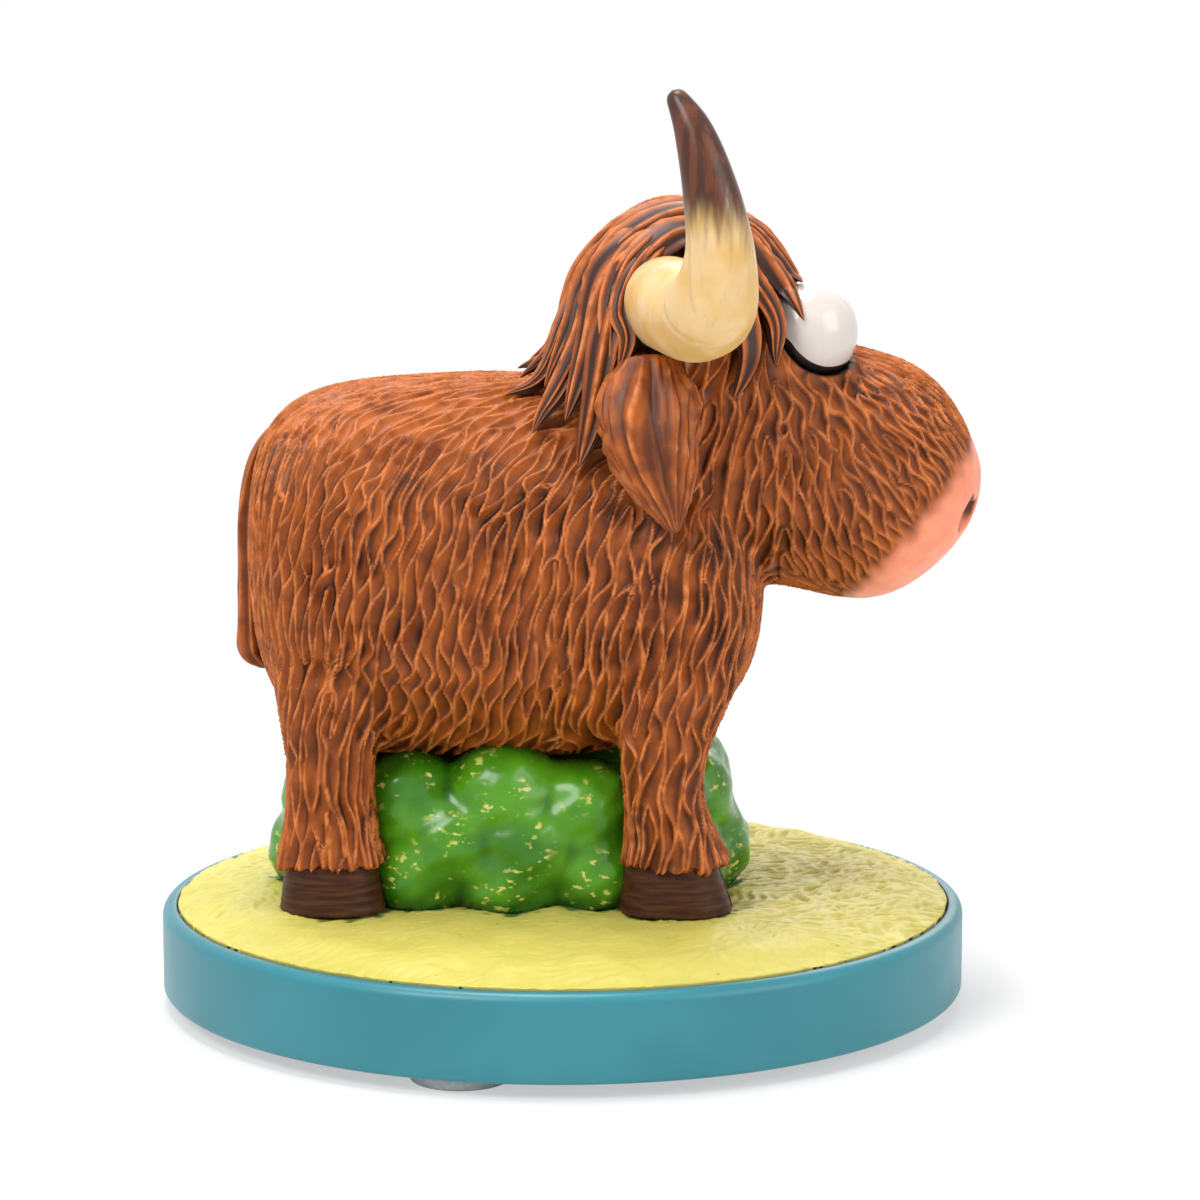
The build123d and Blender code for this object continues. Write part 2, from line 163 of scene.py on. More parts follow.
FORELOCKS = [
    (2.8, 1.6, (13, 0, 97.6), (19, -0.4, 98.2), (25, -0.8, 96.2),
     (29, -1.2, 91.4), (31.4, -1.6, 87.6)),
    (2.0, 1.4, (13.5, -3.4, 97.6), (20.6, -4.6, 98.2), (25.4, -6.8, 97),
     (28.8, -9.8, 93.4), (32.2, -12.6, 89.6)),
    (2.5, 1.6, (14.5, -7.2, 96.8), (20.6, -9, 96.6), (24.6, -11.4, 94),
     (28.2, -13.6, 90.4), (31.4, -15.2, 86.4)),
    (2.2, 1.6, (16, -10.6, 95), (21, -13.4, 93.2), (23.8, -16.2, 89.8),
     (26.6, -18, 85.2), (26.2, -19.2, 80.2)),
    (2.3, 1.5, (16, -13, 93.2), (20.4, -16.6, 90.4), (22.4, -19.2, 86.4),
     (22.6, -20.6, 81.8), (20.4, -21.6, 76.6)),
    (1.8, 1.3, (13.5, -5.6, 97), (19, -7, 97.6), (24, -8.6, 95.8),
     (26.8, -10.6, 92.8), (29, -12.6, 90)),
]

# Bush: middles and radii of the lobes in view under the belly; the rest follow its outline in two
# tiers, each with its height, its share of the outline and its turn
BUSH_NEAR = [
    (-6.9, -11.6, 27.4, 7.2),
    (2.9, -11.6, 25.4, 6.6),
    (-18.4, -10.6, 26.4, 6.6),
    (-13.2, -12.8, 22.0, 6.6),
    (-4.0, -13.2, 21.6, 6.6),
    (-17.0, -12.6, 17.6, 6.2),
    (-6.0, -13.4, 17.0, 6.2),
    (4.4, -12.2, 18.0, 6.2),
]
BUSH_TIERS = [(18.4, 1.0, 0.0), (26.4, 0.95, 0.5)]
BUSH_ROUND = 12
BUSH_CORE = np.array([0.84, 0.78, 0.95])

# Grass: cells across, size of a dab, and how many places are tried for dabs
GRASS_CELLS = 150
DAB_LENGTH, DAB_WIDTH, DAB_PLACES = 6.6, 1.9, 40000

# Plinth: roundings of its lower and upper rim, gap beside the grass, bevel of the recess
RIM_LOW, RIM_HIGH, RECESS_GAP, RECESS_BEVEL = 0.6, 1.3, 0.1, 0.12
PAD_ROUND = 0.45

# Stage, in metres: half the floor's width, the distances between which its shadow fades, the
# backdrop's share where the shadow is fullest, and the light from all round
FLOOR_HALF = 4.0
SHADOW_FADE = (0.05, 0.22)
FLOOR_GLOW = 0.5
ROOM_LIGHT = 0.34
# Lamps: place and size in metres, watts
LAMPS = {
    "key": ((-0.38, -0.5, 0.62), 0.34, 4.0),
    "top": ((-0.08, 0.05, 0.75), 0.34, 4.2),
    "fill": ((0.62, -0.4, 0.35), 0.5, 2.2),
    "rear": ((0.1, 0.7, 0.45), 0.5, 1.8),
}
LAMP_AIM = Vector((0, 0, 0.05))
# Camera: place in millimetres, pitch and turn in degrees, lens and sensor in millimetres
CAMERA_PLACE = (14.0, -430.0, 112.24)
CAMERA_PITCH, CAMERA_TURN = 8.281, 1.246
CAMERA_LENS, CAMERA_SENSOR = 104.95, 36.0

# Colours of the paints, as linear values
UMBER = (0.030, 0.0075, 0.0028)
CHESTNUT = (0.20, 0.044, 0.008)
DARK_CHESTNUT = tuple(0.55 * value for value in CHESTNUT)
RUST = (0.37, 0.088, 0.012)
APRICOT = (0.70, 0.21, 0.055)
SALMON = (0.90, 0.315, 0.185)
BLUSH = (0.85, 0.265, 0.15)
GLUE = (0.62, 0.5, 0.4)
INK = (0.006, 0.005, 0.005)
HORN_CREAM, HORN_YELLOW = (0.76, 0.525, 0.255), (0.71, 0.44, 0.135)
HORN_STREAK = (0.62, 0.42, 0.2)
HORN_BROWN, HORN_RED = (0.058, 0.018, 0.008), (0.125, 0.034, 0.013)
EYE_WHITE, EYE_GREY = (0.71, 0.645, 0.60), (0.64, 0.575, 0.53)
HOOF_DARK, HOOF_BROWN = (0.040, 0.013, 0.006), (0.085, 0.031, 0.013)
HOOF_CLEFT = (0.012, 0.006, 0.005)
LEAF_DARK, LEAF_LIGHT = (0.036, 0.18, 0.004), (0.085, 0.31, 0.009)
LEAF_CREASE, LEAF_SCUFF = (0.006, 0.062, 0.006), (0.62, 0.62, 0.16)
LIME, LIME_DULL = (0.62, 0.55, 0.118), (0.57, 0.513, 0.103)
LIME_GROOVE, LIME_RIDGE = (0.50, 0.44, 0.085), (0.74, 0.67, 0.22)
GRASS_SPECK, GRASS_STAIN = (0.05, 0.10, 0.03), (0.035, 0.13, 0.03)
TEAL_DARK, TEAL_LIGHT = (0.026, 0.20, 0.243), (0.031, 0.222, 0.268)
TEAL_SEAM = (0.008, 0.075, 0.15)
GREY, PAD_LIGHT, STEEL_LIGHT = (0.42, 0.42, 0.43), (0.80, 0.80, 0.81), (0.62, 0.62, 0.63)
PAPER = (0.86, 0.86, 0.86)

# Numbers kept on each vertex of a rolled piece for its finish: brushed ridges, painted shade in the
# grooves and under the locks, and tone
HAIR_FIELDS = ("ridge", "groove", "tone")


def unit(vectors):
    return vectors / np.maximum(np.linalg.norm(vectors, axis=-1, keepdims=True), 1e-9)


def smooth(value, low, high):
    """0 below low, 1 above high, and a soft step between them."""
    share = np.clip((value - low) / (high - low), 0.0, 1.0)
    return share * share * (3 - 2 * share)


def ripple(points, size, seed):
    """Soft irregular field between about -1 and 1, with waves of the given size."""
    waves = np.random.default_rng(seed)
    total = np.zeros(len(points))
    for _ in range(7):
        heading = unit(waves.normal(size=3))
        pitch = size * waves.uniform(0.7, 1.6)
        total += np.sin(points @ heading * 2 * pi / pitch + waves.uniform(0, 2 * pi))
    return total / 3.2


def through(points, count):
    """Evenly counted stations on a smooth curve through a few rows of numbers."""
    rows = np.array(points, float)
    rows = np.vstack([2 * rows[0] - rows[1], rows, 2 * rows[-1] - rows[-2]])
    spans = len(points) - 1
    place = np.linspace(0, spans, count)
    span = np.minimum(place.astype(int), spans - 1)
    t = (place - span)[:, None]
    a, b, c, d = (rows[span + k] for k in range(4))
    total = 2 * b + (c - a) * t + (2 * a - 5 * b + 4 * c - d) * t**2
    return 0.5 * (total + (3 * b - a - 3 * c + d) * t**3)


def feed(tree, node, inputs):
    """Links or sets inputs of a node. Colours are given without their opacity."""
    for name, value in inputs.items():
        socket = node.inputs[name]
        if isinstance(value, bpy.types.NodeSocket):
            tree.links.new(value, socket)
        elif socket.type == "RGBA":
            socket.default_value = (*value, 1.0)
        else:
            socket.default_value = value


def add_node(tree, kind, inputs, output=0, **settings):
    """Adds a shader node with its settings and inputs, and returns one of its outputs."""
    node = tree.nodes.new(f"ShaderNode{kind}")
    for name, value in settings.items():
        setattr(node, name, value)
    feed(tree, node, inputs)
    return node.outputs[output]


class Finish:
    """A painted finish under construction: most calls add a node and return its output."""

    def __init__(self, name, roughness, **uniform):
        self.material = bpy.data.materials.new(name)
        self.material.use_nodes = True
        self.tree = self.material.node_tree
        self.shader = self.tree.nodes["Principled BSDF"]
        self.shader.inputs["Roughness"].default_value = roughness
        for socket, value in uniform.items():
            self.shader.inputs[socket.replace("_", " ")].default_value = value
        self.place = self.add("TexCoord", {}, "Object")

    def add(self, kind, inputs, output=0, **settings):
        return add_node(self.tree, kind, inputs, output, **settings)

    def attribute(self, name):
        return self.add("Attribute", {}, "Fac", attribute_name=name)

    def noise(self, size, detail=2.0, stretch=(1.0, 1.0, 1.0)):
        """Cloudy pattern with features of the given size, stretched along the axes."""
        scale = [1 / share for share in stretch]
        place = self.add("Mapping", {"Vector": self.place, "Scale": scale})
        inputs = {"Vector": place, "Scale": 1 / (size * MM), "Detail": detail}
        return self.add("TexNoise", inputs, "Fac")

    def cells(self, size):
        """Distance to the nearest of many scattered points, in cells of the given size."""
        inputs = {"Vector": self.place, "Scale": 1 / (size * MM)}
        return self.add("TexVoronoi", inputs, "Distance")

    def step(self, value, low, high):
        """Soft step of a value from 0 at low to 1 at high."""
        inputs = {"Value": value, "From Min": low, "From Max": high}
        return self.add("MapRange", inputs, "Result", interpolation_type="SMOOTHSTEP")

    def math(self, operation, first, second):
        return self.add("Math", {0: first, 1: second}, operation=operation)

    def height(self):
        """Height above the foot pads' plane, in metres."""
        return self.add("SeparateXYZ", {0: self.place}, "Z")

    def near_point(self, point, radius, softness):
        """1 within a radius of a point, 0 beyond it."""
        spot = [value * MM for value in point]
        far = self.add("VectorMath", {0: self.place, 1: spot}, "Value", operation="DISTANCE")
        return self.step(far, (radius + softness) * MM, (radius - softness) * MM)

    def mix(self, share, first, second):
        return self.add("Mix", {"Factor": share, 6: first, 7: second}, 2, data_type="RGBA")

    def mottled(self, size, detail, low, high, first, second):
        """Two colours in cloudy patches of the given size."""
        return self.mix(self.step(self.noise(size, detail), low, high), first, second)

    def painted(self, colour, rough=None, grain=None):
        """The material, with its colour, uneven roughness and fine relief.

        rough is a pattern and the roughness at its 0 and 1; grain is a pattern, its depth and its
        strength.
        """
        inputs = {"Base Color": colour}
        if rough:
            pattern, low, high = rough
            share = {"Value": pattern, "To Min": low, "To Max": high}
            inputs["Roughness"] = self.add("MapRange", share, "Result")
        if grain:
            pattern, depth, strength = grain
            relief = {"Height": pattern, "Distance": depth * MM, "Strength": strength}
            inputs["Normal"] = self.add("Bump", relief, "Normal")
        feed(self.tree, self.shader, inputs)
        return self.material


def dry_brushed(finish):
    """Coat colour: rust and chestnut washes, umber as painted shade in grooves, a darker tone that
    carries painted shade on the nape, and apricot over brushed ridges and as a painted sheen on the
    back.
    """
    base = finish.mottled(3.2, 3.0, 0.32, 0.68, CHESTNUT, RUST)
    # Darker chestnut where the tone is high, which includes painted shade on the nape under the
    # mane
    base = finish.mix(finish.step(finish.attribute("tone"), 0.55, 1.0), base, DARK_CHESTNUT)
    # Umber as painted shade in the grooves and hollows
    base = finish.mix(finish.attribute("groove"), base, UMBER)
    patchy = finish.step(finish.noise(1.8, 4.0), 0.26, 0.66)
    # Apricot over brushed ridges, and as a painted sheen on the coat's upward-facing back
    return finish.mix(finish.math("MULTIPLY", finish.attribute("ridge"), patchy), base, APRICOT)


def coat_paint():
    finish = Finish("coat_paint", 0.42, Specular_IOR_Level=0.2)
    colour = dry_brushed(finish)
    skin = finish.mottled(2.4, 2.0, 0.35, 0.7, SALMON, BLUSH)
    for field, paint in (("pink", skin), ("ink", INK), ("glue", GLUE)):
        colour = finish.mix(finish.attribute(field), colour, paint)
    grain = (finish.noise(0.35, 3.0), 0.03, 0.6)
    return finish.painted(colour, (finish.noise(1.6, 3.0), 0.3, 0.52), grain)


def hair_paint():
    finish = Finish("hair_paint", 0.42, Specular_IOR_Level=0.28)
    grain = (finish.noise(0.4, 3.0), 0.04, 0.6)
    return finish.painted(dry_brushed(finish), (finish.noise(1.6, 3.0), 0.3, 0.55), grain)


def horn_paint():
    """Cream horn, yellow in patches, that turns streaky brown towards its tip."""
    finish = Finish("horn_paint", 0.3, Specular_IOR_Level=0.36)
    cream = finish.mottled(5.0, 2.0, 0.38, 0.66, HORN_CREAM, HORN_YELLOW)
    streaks = finish.noise(1.0, 4.0, (1.0, 1.0, 9.0))
    dusk = finish.math("ADD", finish.height(), finish.math("MULTIPLY", streaks, 9.0 * MM))
    cream = finish.mix(finish.step(streaks, 0.52, 0.78), cream, HORN_STREAK)
    brown = finish.mix(finish.step(streaks, 0.45, 0.62), HORN_BROWN, HORN_RED)
    colour = finish.mix(finish.step(dusk, *HORN_DUSK), cream, brown)
    grain = (finish.noise(0.7, 3.0, (1.0, 1.0, 8.0)), 0.05, 0.5)
    return finish.painted(colour, (streaks, 0.24, 0.42), grain)


def eye_paint(pupil):
    finish = Finish("eye_paint", 0.22, Specular_IOR_Level=0.5, Coat_Weight=0.3)
    white = finish.mottled(6.0, 2.0, 0.4, 0.7, EYE_WHITE, EYE_GREY)
    white = finish.mix(finish.near_point(pupil, PUPIL_RADIUS, 0.12), white, INK)
    colour = finish.mix(finish.step(finish.attribute("line"), 0.0, 0.12), white, INK)
    return finish.painted(colour, grain=(finish.noise(1.5, 2.0), 0.03, 0.4))


def hoof_paint():
    finish = Finish("hoof_paint", 0.4, Specular_IOR_Level=0.16)
    lines = finish.noise(0.5, 4.0, (9.0, 9.0, 1.0))
    brown = finish.mix(finish.step(lines, 0.35, 0.7), HOOF_DARK, HOOF_BROWN)
    colour = finish.mix(finish.attribute("cleft"), brown, HOOF_CLEFT)
    return finish.painted(colour, (lines, 0.32, 0.55), (lines, 0.06, 0.6))


def bush_paint():
    """Glossy green with painted shade in the creases and at the foot, and yellow scuffs where the
    lobes stand out.
    """
    finish = Finish("bush_paint", 0.26, Specular_IOR_Level=0.36, Coat_Weight=0.1)
    green = finish.mottled(7.0, 2.0, 0.35, 0.65, LEAF_DARK, LEAF_LIGHT)
    # Painted shade in the creases between the lobes and where the bush meets the grass
    green = finish.mix(finish.attribute("crease"), green, LEAF_CREASE)
    scuffs = finish.step(finish.noise(0.8, 4.0, (1.6, 1.6, 1.0)), 0.57, 0.64)
    patches = finish.step(finish.noise(5.5, 2.0), 0.47, 0.6)
    patches = finish.math("MULTIPLY", patches, finish.attribute("proud"))
    colour = finish.mix(finish.math("MULTIPLY", scuffs, patches), green, LEAF_SCUFF)
    grain = (finish.noise(1.2, 3.0), 0.05, 0.5)
    return finish.painted(colour, (finish.noise(3.0, 2.0), 0.2, 0.34), grain)


def grass_paint():
    """Pale lime over plaster-like dabs, with olive as painted shade in their hollows and specks of
    dark green.
    """
    finish = Finish("grass_paint", 0.5, Specular_IOR_Level=0.4)
    lime = finish.mottled(4.0, 3.0, 0.35, 0.65, LIME, LIME_DULL)
    # Olive as painted shade in the dabs' hollows
    lime = finish.mix(finish.attribute("groove"), lime, LIME_GROOVE)
    lime = finish.mix(finish.attribute("ridge"), lime, LIME_RIDGE)
    specks = finish.step(finish.cells(2.6), 0.10, 0.06)
    rare = finish.step(finish.noise(3.6, 2.0), 0.52, 0.6)
    rare = finish.math("MULTIPLY", rare, finish.attribute("specks"))
    lime = finish.mix(finish.math("MULTIPLY", specks, rare), lime, GRASS_SPECK)
    colour = finish.mix(finish.attribute("stain"), lime, GRASS_STAIN)
    grain = (finish.noise(0.6, 3.0), 0.06, 0.6)
    return finish.painted(colour, (finish.noise(2.0, 2.0), 0.42, 0.6), grain)


def teal_paint():
    finish = Finish("teal_paint", 0.36, Specular_IOR_Level=0.4)
    teal = finish.mottled(14.0, 3.0, 0.35, 0.65, TEAL_DARK, TEAL_LIGHT)
    colour = finish.mix(finish.attribute("seam"), teal, TEAL_SEAM)
    grain = (finish.noise(1.6, 3.0), 0.03, 0.4)
    return finish.painted(colour, (finish.noise(5.0, 3.0), 0.3, 0.42), grain)


def pad_rubber():
    finish = Finish("pad_rubber", 0.55, Specular_IOR_Level=0.5)
    grain = finish.noise(0.35, 3.0)
    return finish.painted(finish.mix(grain, GREY, PAD_LIGHT), grain=(grain, 0.08, 0.8))


def pin_steel():
    finish = Finish("pin_steel", 0.35, Metallic=1.0)
    drawn = finish.noise(0.2, 2.0, (1.0, 1.0, 20.0))
    return finish.painted(finish.mix(drawn, GREY, STEEL_LIGHT), (drawn, 0.28, 0.45))


def seen_rays(tree):
    """1 for rays that show the backdrop: the camera's, and those mirrored or let through."""
    seen = add_node(tree, "LightPath", {}, "Is Camera Ray")
    path = seen.node
    for kind in ("Is Glossy Ray", "Is Transmission Ray"):
        seen = add_node(tree, "Math", {0: seen, 1: path.outputs[kind]}, operation="MAXIMUM")
    return seen


def floor_paper():
    """White paper that keeps a faint shadow near the object and fades to the backdrop's white."""
    finish = Finish("floor_paper", 0.9, Specular_IOR_Level=0.2)
    far = finish.add("VectorMath", {0: finish.place}, "Value", operation="LENGTH")
    fade = finish.step(far, *SHADOW_FADE)
    fade.node.inputs["To Min"].default_value = FLOOR_GLOW
    share = finish.math("MULTIPLY", seen_rays(finish.tree), fade)
    glow = finish.add("Emission", {})
    both = finish.add("MixShader", {0: share, 1: finish.shader.outputs[0], 2: glow})
    feed(finish.tree, finish.tree.nodes["Material Output"], {"Surface": both})
    return finish.painted(PAPER)


def finished(bm, name):
    """Mesh with a bmesh's shape. The bmesh is freed."""
    mesh = bpy.data.meshes.new(name)
    bm.to_mesh(mesh)
    bm.free()
    return mesh


def turned_out(bm, name):
    """Finished mesh with its faces turned outward."""
    bmesh.ops.recalc_face_normals(bm, faces=bm.faces)
    return finished(bm, name)


def set_piece(name, mesh, paint, slot, *nodes):
    """Puts a finished mesh in the scene as a piece that stands for CAD nodes."""
    piece = bpy.data.objects.new(name, mesh)
    bpy.context.scene.collection.objects.link(piece)
    mesh.materials.clear()
    mesh.materials.append(paint)
    mesh.shade_smooth()
    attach(piece, "root")
    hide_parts(*nodes)


def store(mesh, **fields):
    """Keeps one number for each vertex under a name that a finish reads."""
    for name, values in fields.items():
        layer = mesh.attributes.new(name, "FLOAT", "POINT")
        layer.data.foreach_set("value", np.asarray(values, np.float32))


def read(items, name, kind=np.int32, width=1):
    """What each of a mesh's items has under a name, in one row."""
    values = np.empty(len(items) * width, kind)
    items.foreach_get(name, values)
    return values


def corners(mesh):
    """Vertices in millimetres and their normals."""
    points = read(mesh.vertices, "co", np.float32, 3).reshape(-1, 3).astype(float) / MM
    return points, read(mesh.vertices, "normal", np.float32, 3).reshape(-1, 3).astype(float)


def place_corners(mesh, points):
    mesh.vertices.foreach_set("co", (points * MM).astype(np.float32).ravel())
    mesh.update()


def edge_ends(mesh):
    """First and second vertex of every edge."""
    return read(mesh.edges, "vertices", width=2).reshape(-1, 2).T


def joined_copy(*nodes):
    """Closed copy of CAD nodes in one bmesh."""
    bm = bmesh.new()
    for node in nodes:
        bm.from_mesh(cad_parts[node].data)
    bmesh.ops.remove_doubles(bm, verts=bm.verts, dist=1e-6)
    return bm


def largest_island(mesh):
    """Drops all but the largest connected part of a mesh."""
    bm = bmesh.new()
    bm.from_mesh(mesh)
    left = set(bm.verts)
    best = []
    while left:
        island = [left.pop()]
        for vert in island:
            for edge in vert.link_edges:
                other = edge.other_vert(vert)
                if other in left:
                    left.remove(other)
                    island.append(other)
        if len(island) > len(best):
            best = island
    keep = set(best)
    stray = [vert for vert in bm.verts if vert not in keep]
    bmesh.ops.delete(bm, geom=stray, context="VERTS")
    bm.to_mesh(mesh)
    bm.free()


def through_modifiers(mesh, *modifiers):
    """Mesh after the given modifiers, each a type and its settings."""
    carrier = bpy.data.objects.new("carrier", mesh)
    bpy.context.scene.collection.objects.link(carrier)
    for kind, settings in modifiers:
        modifier = carrier.modifiers.new(kind.lower(), kind)
        for name, value in settings.items():
            setattr(modifier, name, value)
    depsgraph = bpy.context.evaluated_depsgraph_get()
    result = bpy.data.meshes.new_from_object(carrier.evaluated_get(depsgraph))
    bpy.data.objects.remove(carrier)
    return result


def even_mesh(bm, voxel, rounds):
    """Even quad mesh over a closed bmesh: remeshed, smoothed for some rounds and divided once."""
    remesh = {"mode": "VOXEL", "voxel_size": voxel * MM, "adaptivity": 0.0}
    mesh = through_modifiers(finished(bm, "even"), ("REMESH", remesh))
    largest_island(mesh)
    calm = ("SMOOTH", {"factor": 0.5, "iterations": rounds})
    divide = ("SUBSURF", {"levels": 1, "render_levels": 1})
    return through_modifiers(mesh, calm, divide)


def relaxed(mesh, points, rounds):
    """A row of numbers for each vertex, after rounds of moving half-way to the neighbours' mean."""
    first, second = edge_ends(mesh)
    count = np.bincount(np.concatenate([first, second]), minlength=len(points))
    for _ in range(rounds):
        total = np.empty_like(points)
        for axis in range(points.shape[1]):
            total[:, axis] = np.bincount(first, points[second, axis], len(points))
            total[:, axis] += np.bincount(second, points[first, axis], len(points))
        points = 0.5 * points + 0.5 * total / np.maximum(count, 1)[:, None]
    return points


def phase(mesh, points, way, pitch, block, rounds=160):
    """Angle at each vertex that turns once for every pitch along a way over the skin.

    It starts from blocks that are true inside and strangers to each other, and is evened out
    between neighbours, so that rows end and join between the blocks as hand-carved ones do.
    """
    first, second = edge_ends(mesh)
    rate = way * (2 * pi / pitch)[:, None]
    turn = ((points[second] - points[first]) * (rate[first] + rate[second])).sum(1)
    turn = np.exp(0.5j * turn)
    label = np.unique(np.floor(points / block), axis=0, return_inverse=True)[1].ravel()
    size = np.bincount(label)
    middle, slope = (
        np.stack([np.bincount(label, axis) for axis in rows.T], 1) / size[:, None]
        for rows in (points, rate)
    )
    start = rng.uniform(0, 2 * pi, len(size))
    state = np.exp(1j * (start[label] + ((points - middle[label]) * slope[label]).sum(1)))
    for _ in range(rounds):
        ahead = state[first] * turn
        behind = state[second] / turn
        parts = [
            np.bincount(second, forth, len(state)) + np.bincount(first, back, len(state))
            for forth, back in ((ahead.real, behind.real), (ahead.imag, behind.imag))
        ]
        state = parts[0] + 1j * parts[1]
        state /= np.maximum(np.abs(state), 1e-9)
    return np.angle(state)


class Scoops:
    """Leaf-shaped scoops of a carving tool, side by side along the lie of the hair.

    edge is the distance in millimetres from the crest beside a scoop, lean runs from -1 to 1
    across the scoop, and hollow is its depth as a share of the deepest.
    """

    def __init__(self, mesh, points, normals, lie, length, width):
        pair = 1.12 * width * (1 + 0.12 * ripple(points, 14, 77))
        across = phase(mesh, points, np.cross(normals, lie), pair, 9.0)
        along = phase(mesh, points, lie, length, 11.0)
        along += 0.5 * ripple(points, 9, 71)
        bend = 0.75 * np.sin(along + 0.8 + 0.6 * ripple(points, 8, 72))
        across += bend + 0.3 * ripple(points, 5, 73)
        reach = np.clip(1.1 + 0.36 * ripple(points, 7, 74), 0.5, 1.5)
        low = reach * np.cos(along + 0.55 * ripple(points, 6, 75))
        high = pi - reach * np.cos(along + 0.55 * ripple(points, 6, 76))
        place = low + (across - low) % (2 * pi)
        inner = place < high
        half = np.where(inner, high - low, low + 2 * pi - high) / 2
        away = place - np.where(inner, high + low, high + low + 2 * pi) / 2
        self.edge = (half - np.abs(away)) * pair / (2 * pi)
        self.lean = np.clip(away / np.maximum(half, 0.05), -1, 1)
        self.hollow = (1 - self.lean**2) * np.clip(half / (pi / 2 + 1.2), 0, 1.2) ** 0.7


def scatter(points, lie, length, width, order):
    """Picks stroke places in a given order, close along the lie but not on top of each other."""
    cell = 5.0
    taken = {}
    chosen = []
    beside = [(i, j) for i in (-1, 0, 1) for j in (-1, 0, 1)]
    for index in order:
        point, along = points[index], lie[index]
        kx, ky = (int(value // cell) for value in point[:2])
        others = []
        for i, j in beside:
            others += taken.get((kx + i, ky + j), ())
        if others:
            gaps = points[others] - point
            runs = gaps @ along
            offs = np.sqrt(np.maximum((gaps**2).sum(1) - runs**2, 0))
            if ((2 * runs / length) ** 2 + 2 * offs / width < 1.25).any():
                continue
        taken.setdefault((kx, ky), []).append(index)
        chosen.append(index)
    return np.array(chosen)


class Strokes:
    """Lens-shaped strokes of a modelling tool on a level plane, side by side along a lie.

    edge is 1 on a stroke's middle line, 0 on the crest between two strokes and below 0 where none
    reaches; lean runs from -1 to 1 across a stroke; scoop is the depth as a share, round inside.
    """

    def __init__(self, points, lie, length, width, order):
        chosen = scatter(points, lie, length, width, order)
        tree = kdtree.KDTree(len(points))
        for index, point in enumerate(points):
            tree.insert(point, index)
        tree.balance()
        first = np.full(len(points), 9.0)
        second = np.full(len(points), 9.0)
        self.owner = np.zeros(len(points), int)
        self.lean = np.zeros(len(points))
        self.count = len(chosen)
        bend = pi * ripple(points[chosen], 15, 51)
        for number, index in enumerate(chosen):
            long = length * rng.uniform(0.85, 1.2)
            wide = width * rng.uniform(0.85, 1.2)
            sway = wide * rng.uniform(0.3, 0.6)
            along, middle = lie[index], points[index]
            across = np.array([-along[1], along[0], 0.0])
            found = tree.find_range(middle, 0.56 * long + 0.4)
            near = np.fromiter((item[1] for item in found), int, len(found))
            offset = points[near] - middle
            run = 2 * (offset @ along) / long
            off = 2 * (offset @ across - sway * np.sin(pi * run + bend[number])) / wide
            away = np.abs(run) ** 2.3 + np.abs(off)
            closer = away < first[near]
            second[near] = np.where(closer, first[near], np.minimum(second[near], away))
            first[near] = np.minimum(first[near], away)
            self.owner[near[closer]] = number
            self.lean[near[closer]] = np.clip(off[closer], -1, 1)
        self.edge = np.minimum(1.25 - first, (second - first) / 2)
        self.scoop = 1 - (1 - np.clip(self.edge, 0, 1)) ** 2

    def share(self, low, high):
        """A number for each point, the same all over one stroke."""
        return rng.uniform(low, high, self.count)[self.owner]


def hair_lie(points, normals):
    """Way that the coat's hair lies: back along the spine, down the sides, forward on the face."""
    x, y, z = points.T
    height = z - GROUND
    upper = smooth(height, 45, 64) * (1 - smooth(x, 2, 14))
    rump = smooth(-x, 24, 34)
    face = smooth(x, 24, 44) * smooth(height, 28, 34)
    back = 0.12 + 0.95 * upper * (1 - 0.85 * rump)
    back = back * (1 - face) - 0.6 * face
    out = np.sign(y) * upper * 0.45 * (1 - face)
    swirl = 0.32 * ripple(points, 18, 3) + 0.1 * ripple(points, 8, 4)
    down = 1 - 0.35 * upper * (1 - face)
    lie = np.stack([-back + swirl * (0.6 + upper), out, -down], 1)
    lie -= (lie * normals).sum(1, keepdims=True) * normals
    return unit(lie)


def folded(points):
    """Points of both sides, folded over to the near one."""
    x, y, z = points.T
    return np.stack([x, -np.abs(y), z], 1)


def eye_reach(points):
    """How far points are from the eyeballs, in eyeball radii: 1 is on the ball."""
    return np.linalg.norm((folded(points) - EYE_MIDDLE) / EYE_HALF, axis=1)


def ahead_of(points, top, bottom):
    """Distance in front of a line that is drawn on the side view, in millimetres."""
    run = unit(bottom - top)
    return (points[:, [0, 2]] - top) @ np.array([-run[1], run[0]])


def nostril(points):
    """0 in the middle of a nostril and 1 at its edge: an almond joined with the solid's dent."""
    spot = folded(points)
    nose = spot - NOSTRIL
    run = nose @ unit(NOSTRIL_RUN)
    beside = nose @ unit(np.cross(NOSTRIL_RUN, NOSTRIL_WAY))
    beyond = smooth(np.linalg.norm(nose, axis=1), 3.6, 4.6)
    almond = (run / 2.9) ** 2 + np.abs(beside) / 2.4 + 9 * beyond
    return np.minimum(almond, np.linalg.norm(spot - NOSTRIL_DENT, axis=1) / 2.2)


def fringe(points, normals):
    """Hangs the hair at the foot of each leg over the hoof in ragged tufts."""
    low = 1 - smooth(points[:, 2], HEM + 0.2, HEM + 2.6)
    ragged = 0.75 + 0.35 * ripple(points * np.array([1, 1, 0.1]), 2.6, 8)
    drop = np.array([0, 0, -1.0]) * ragged[:, None] * 1.1
    return low[:, None] * (drop + 0.35 * normals * np.array([1.0, 1.0, 0.0]))


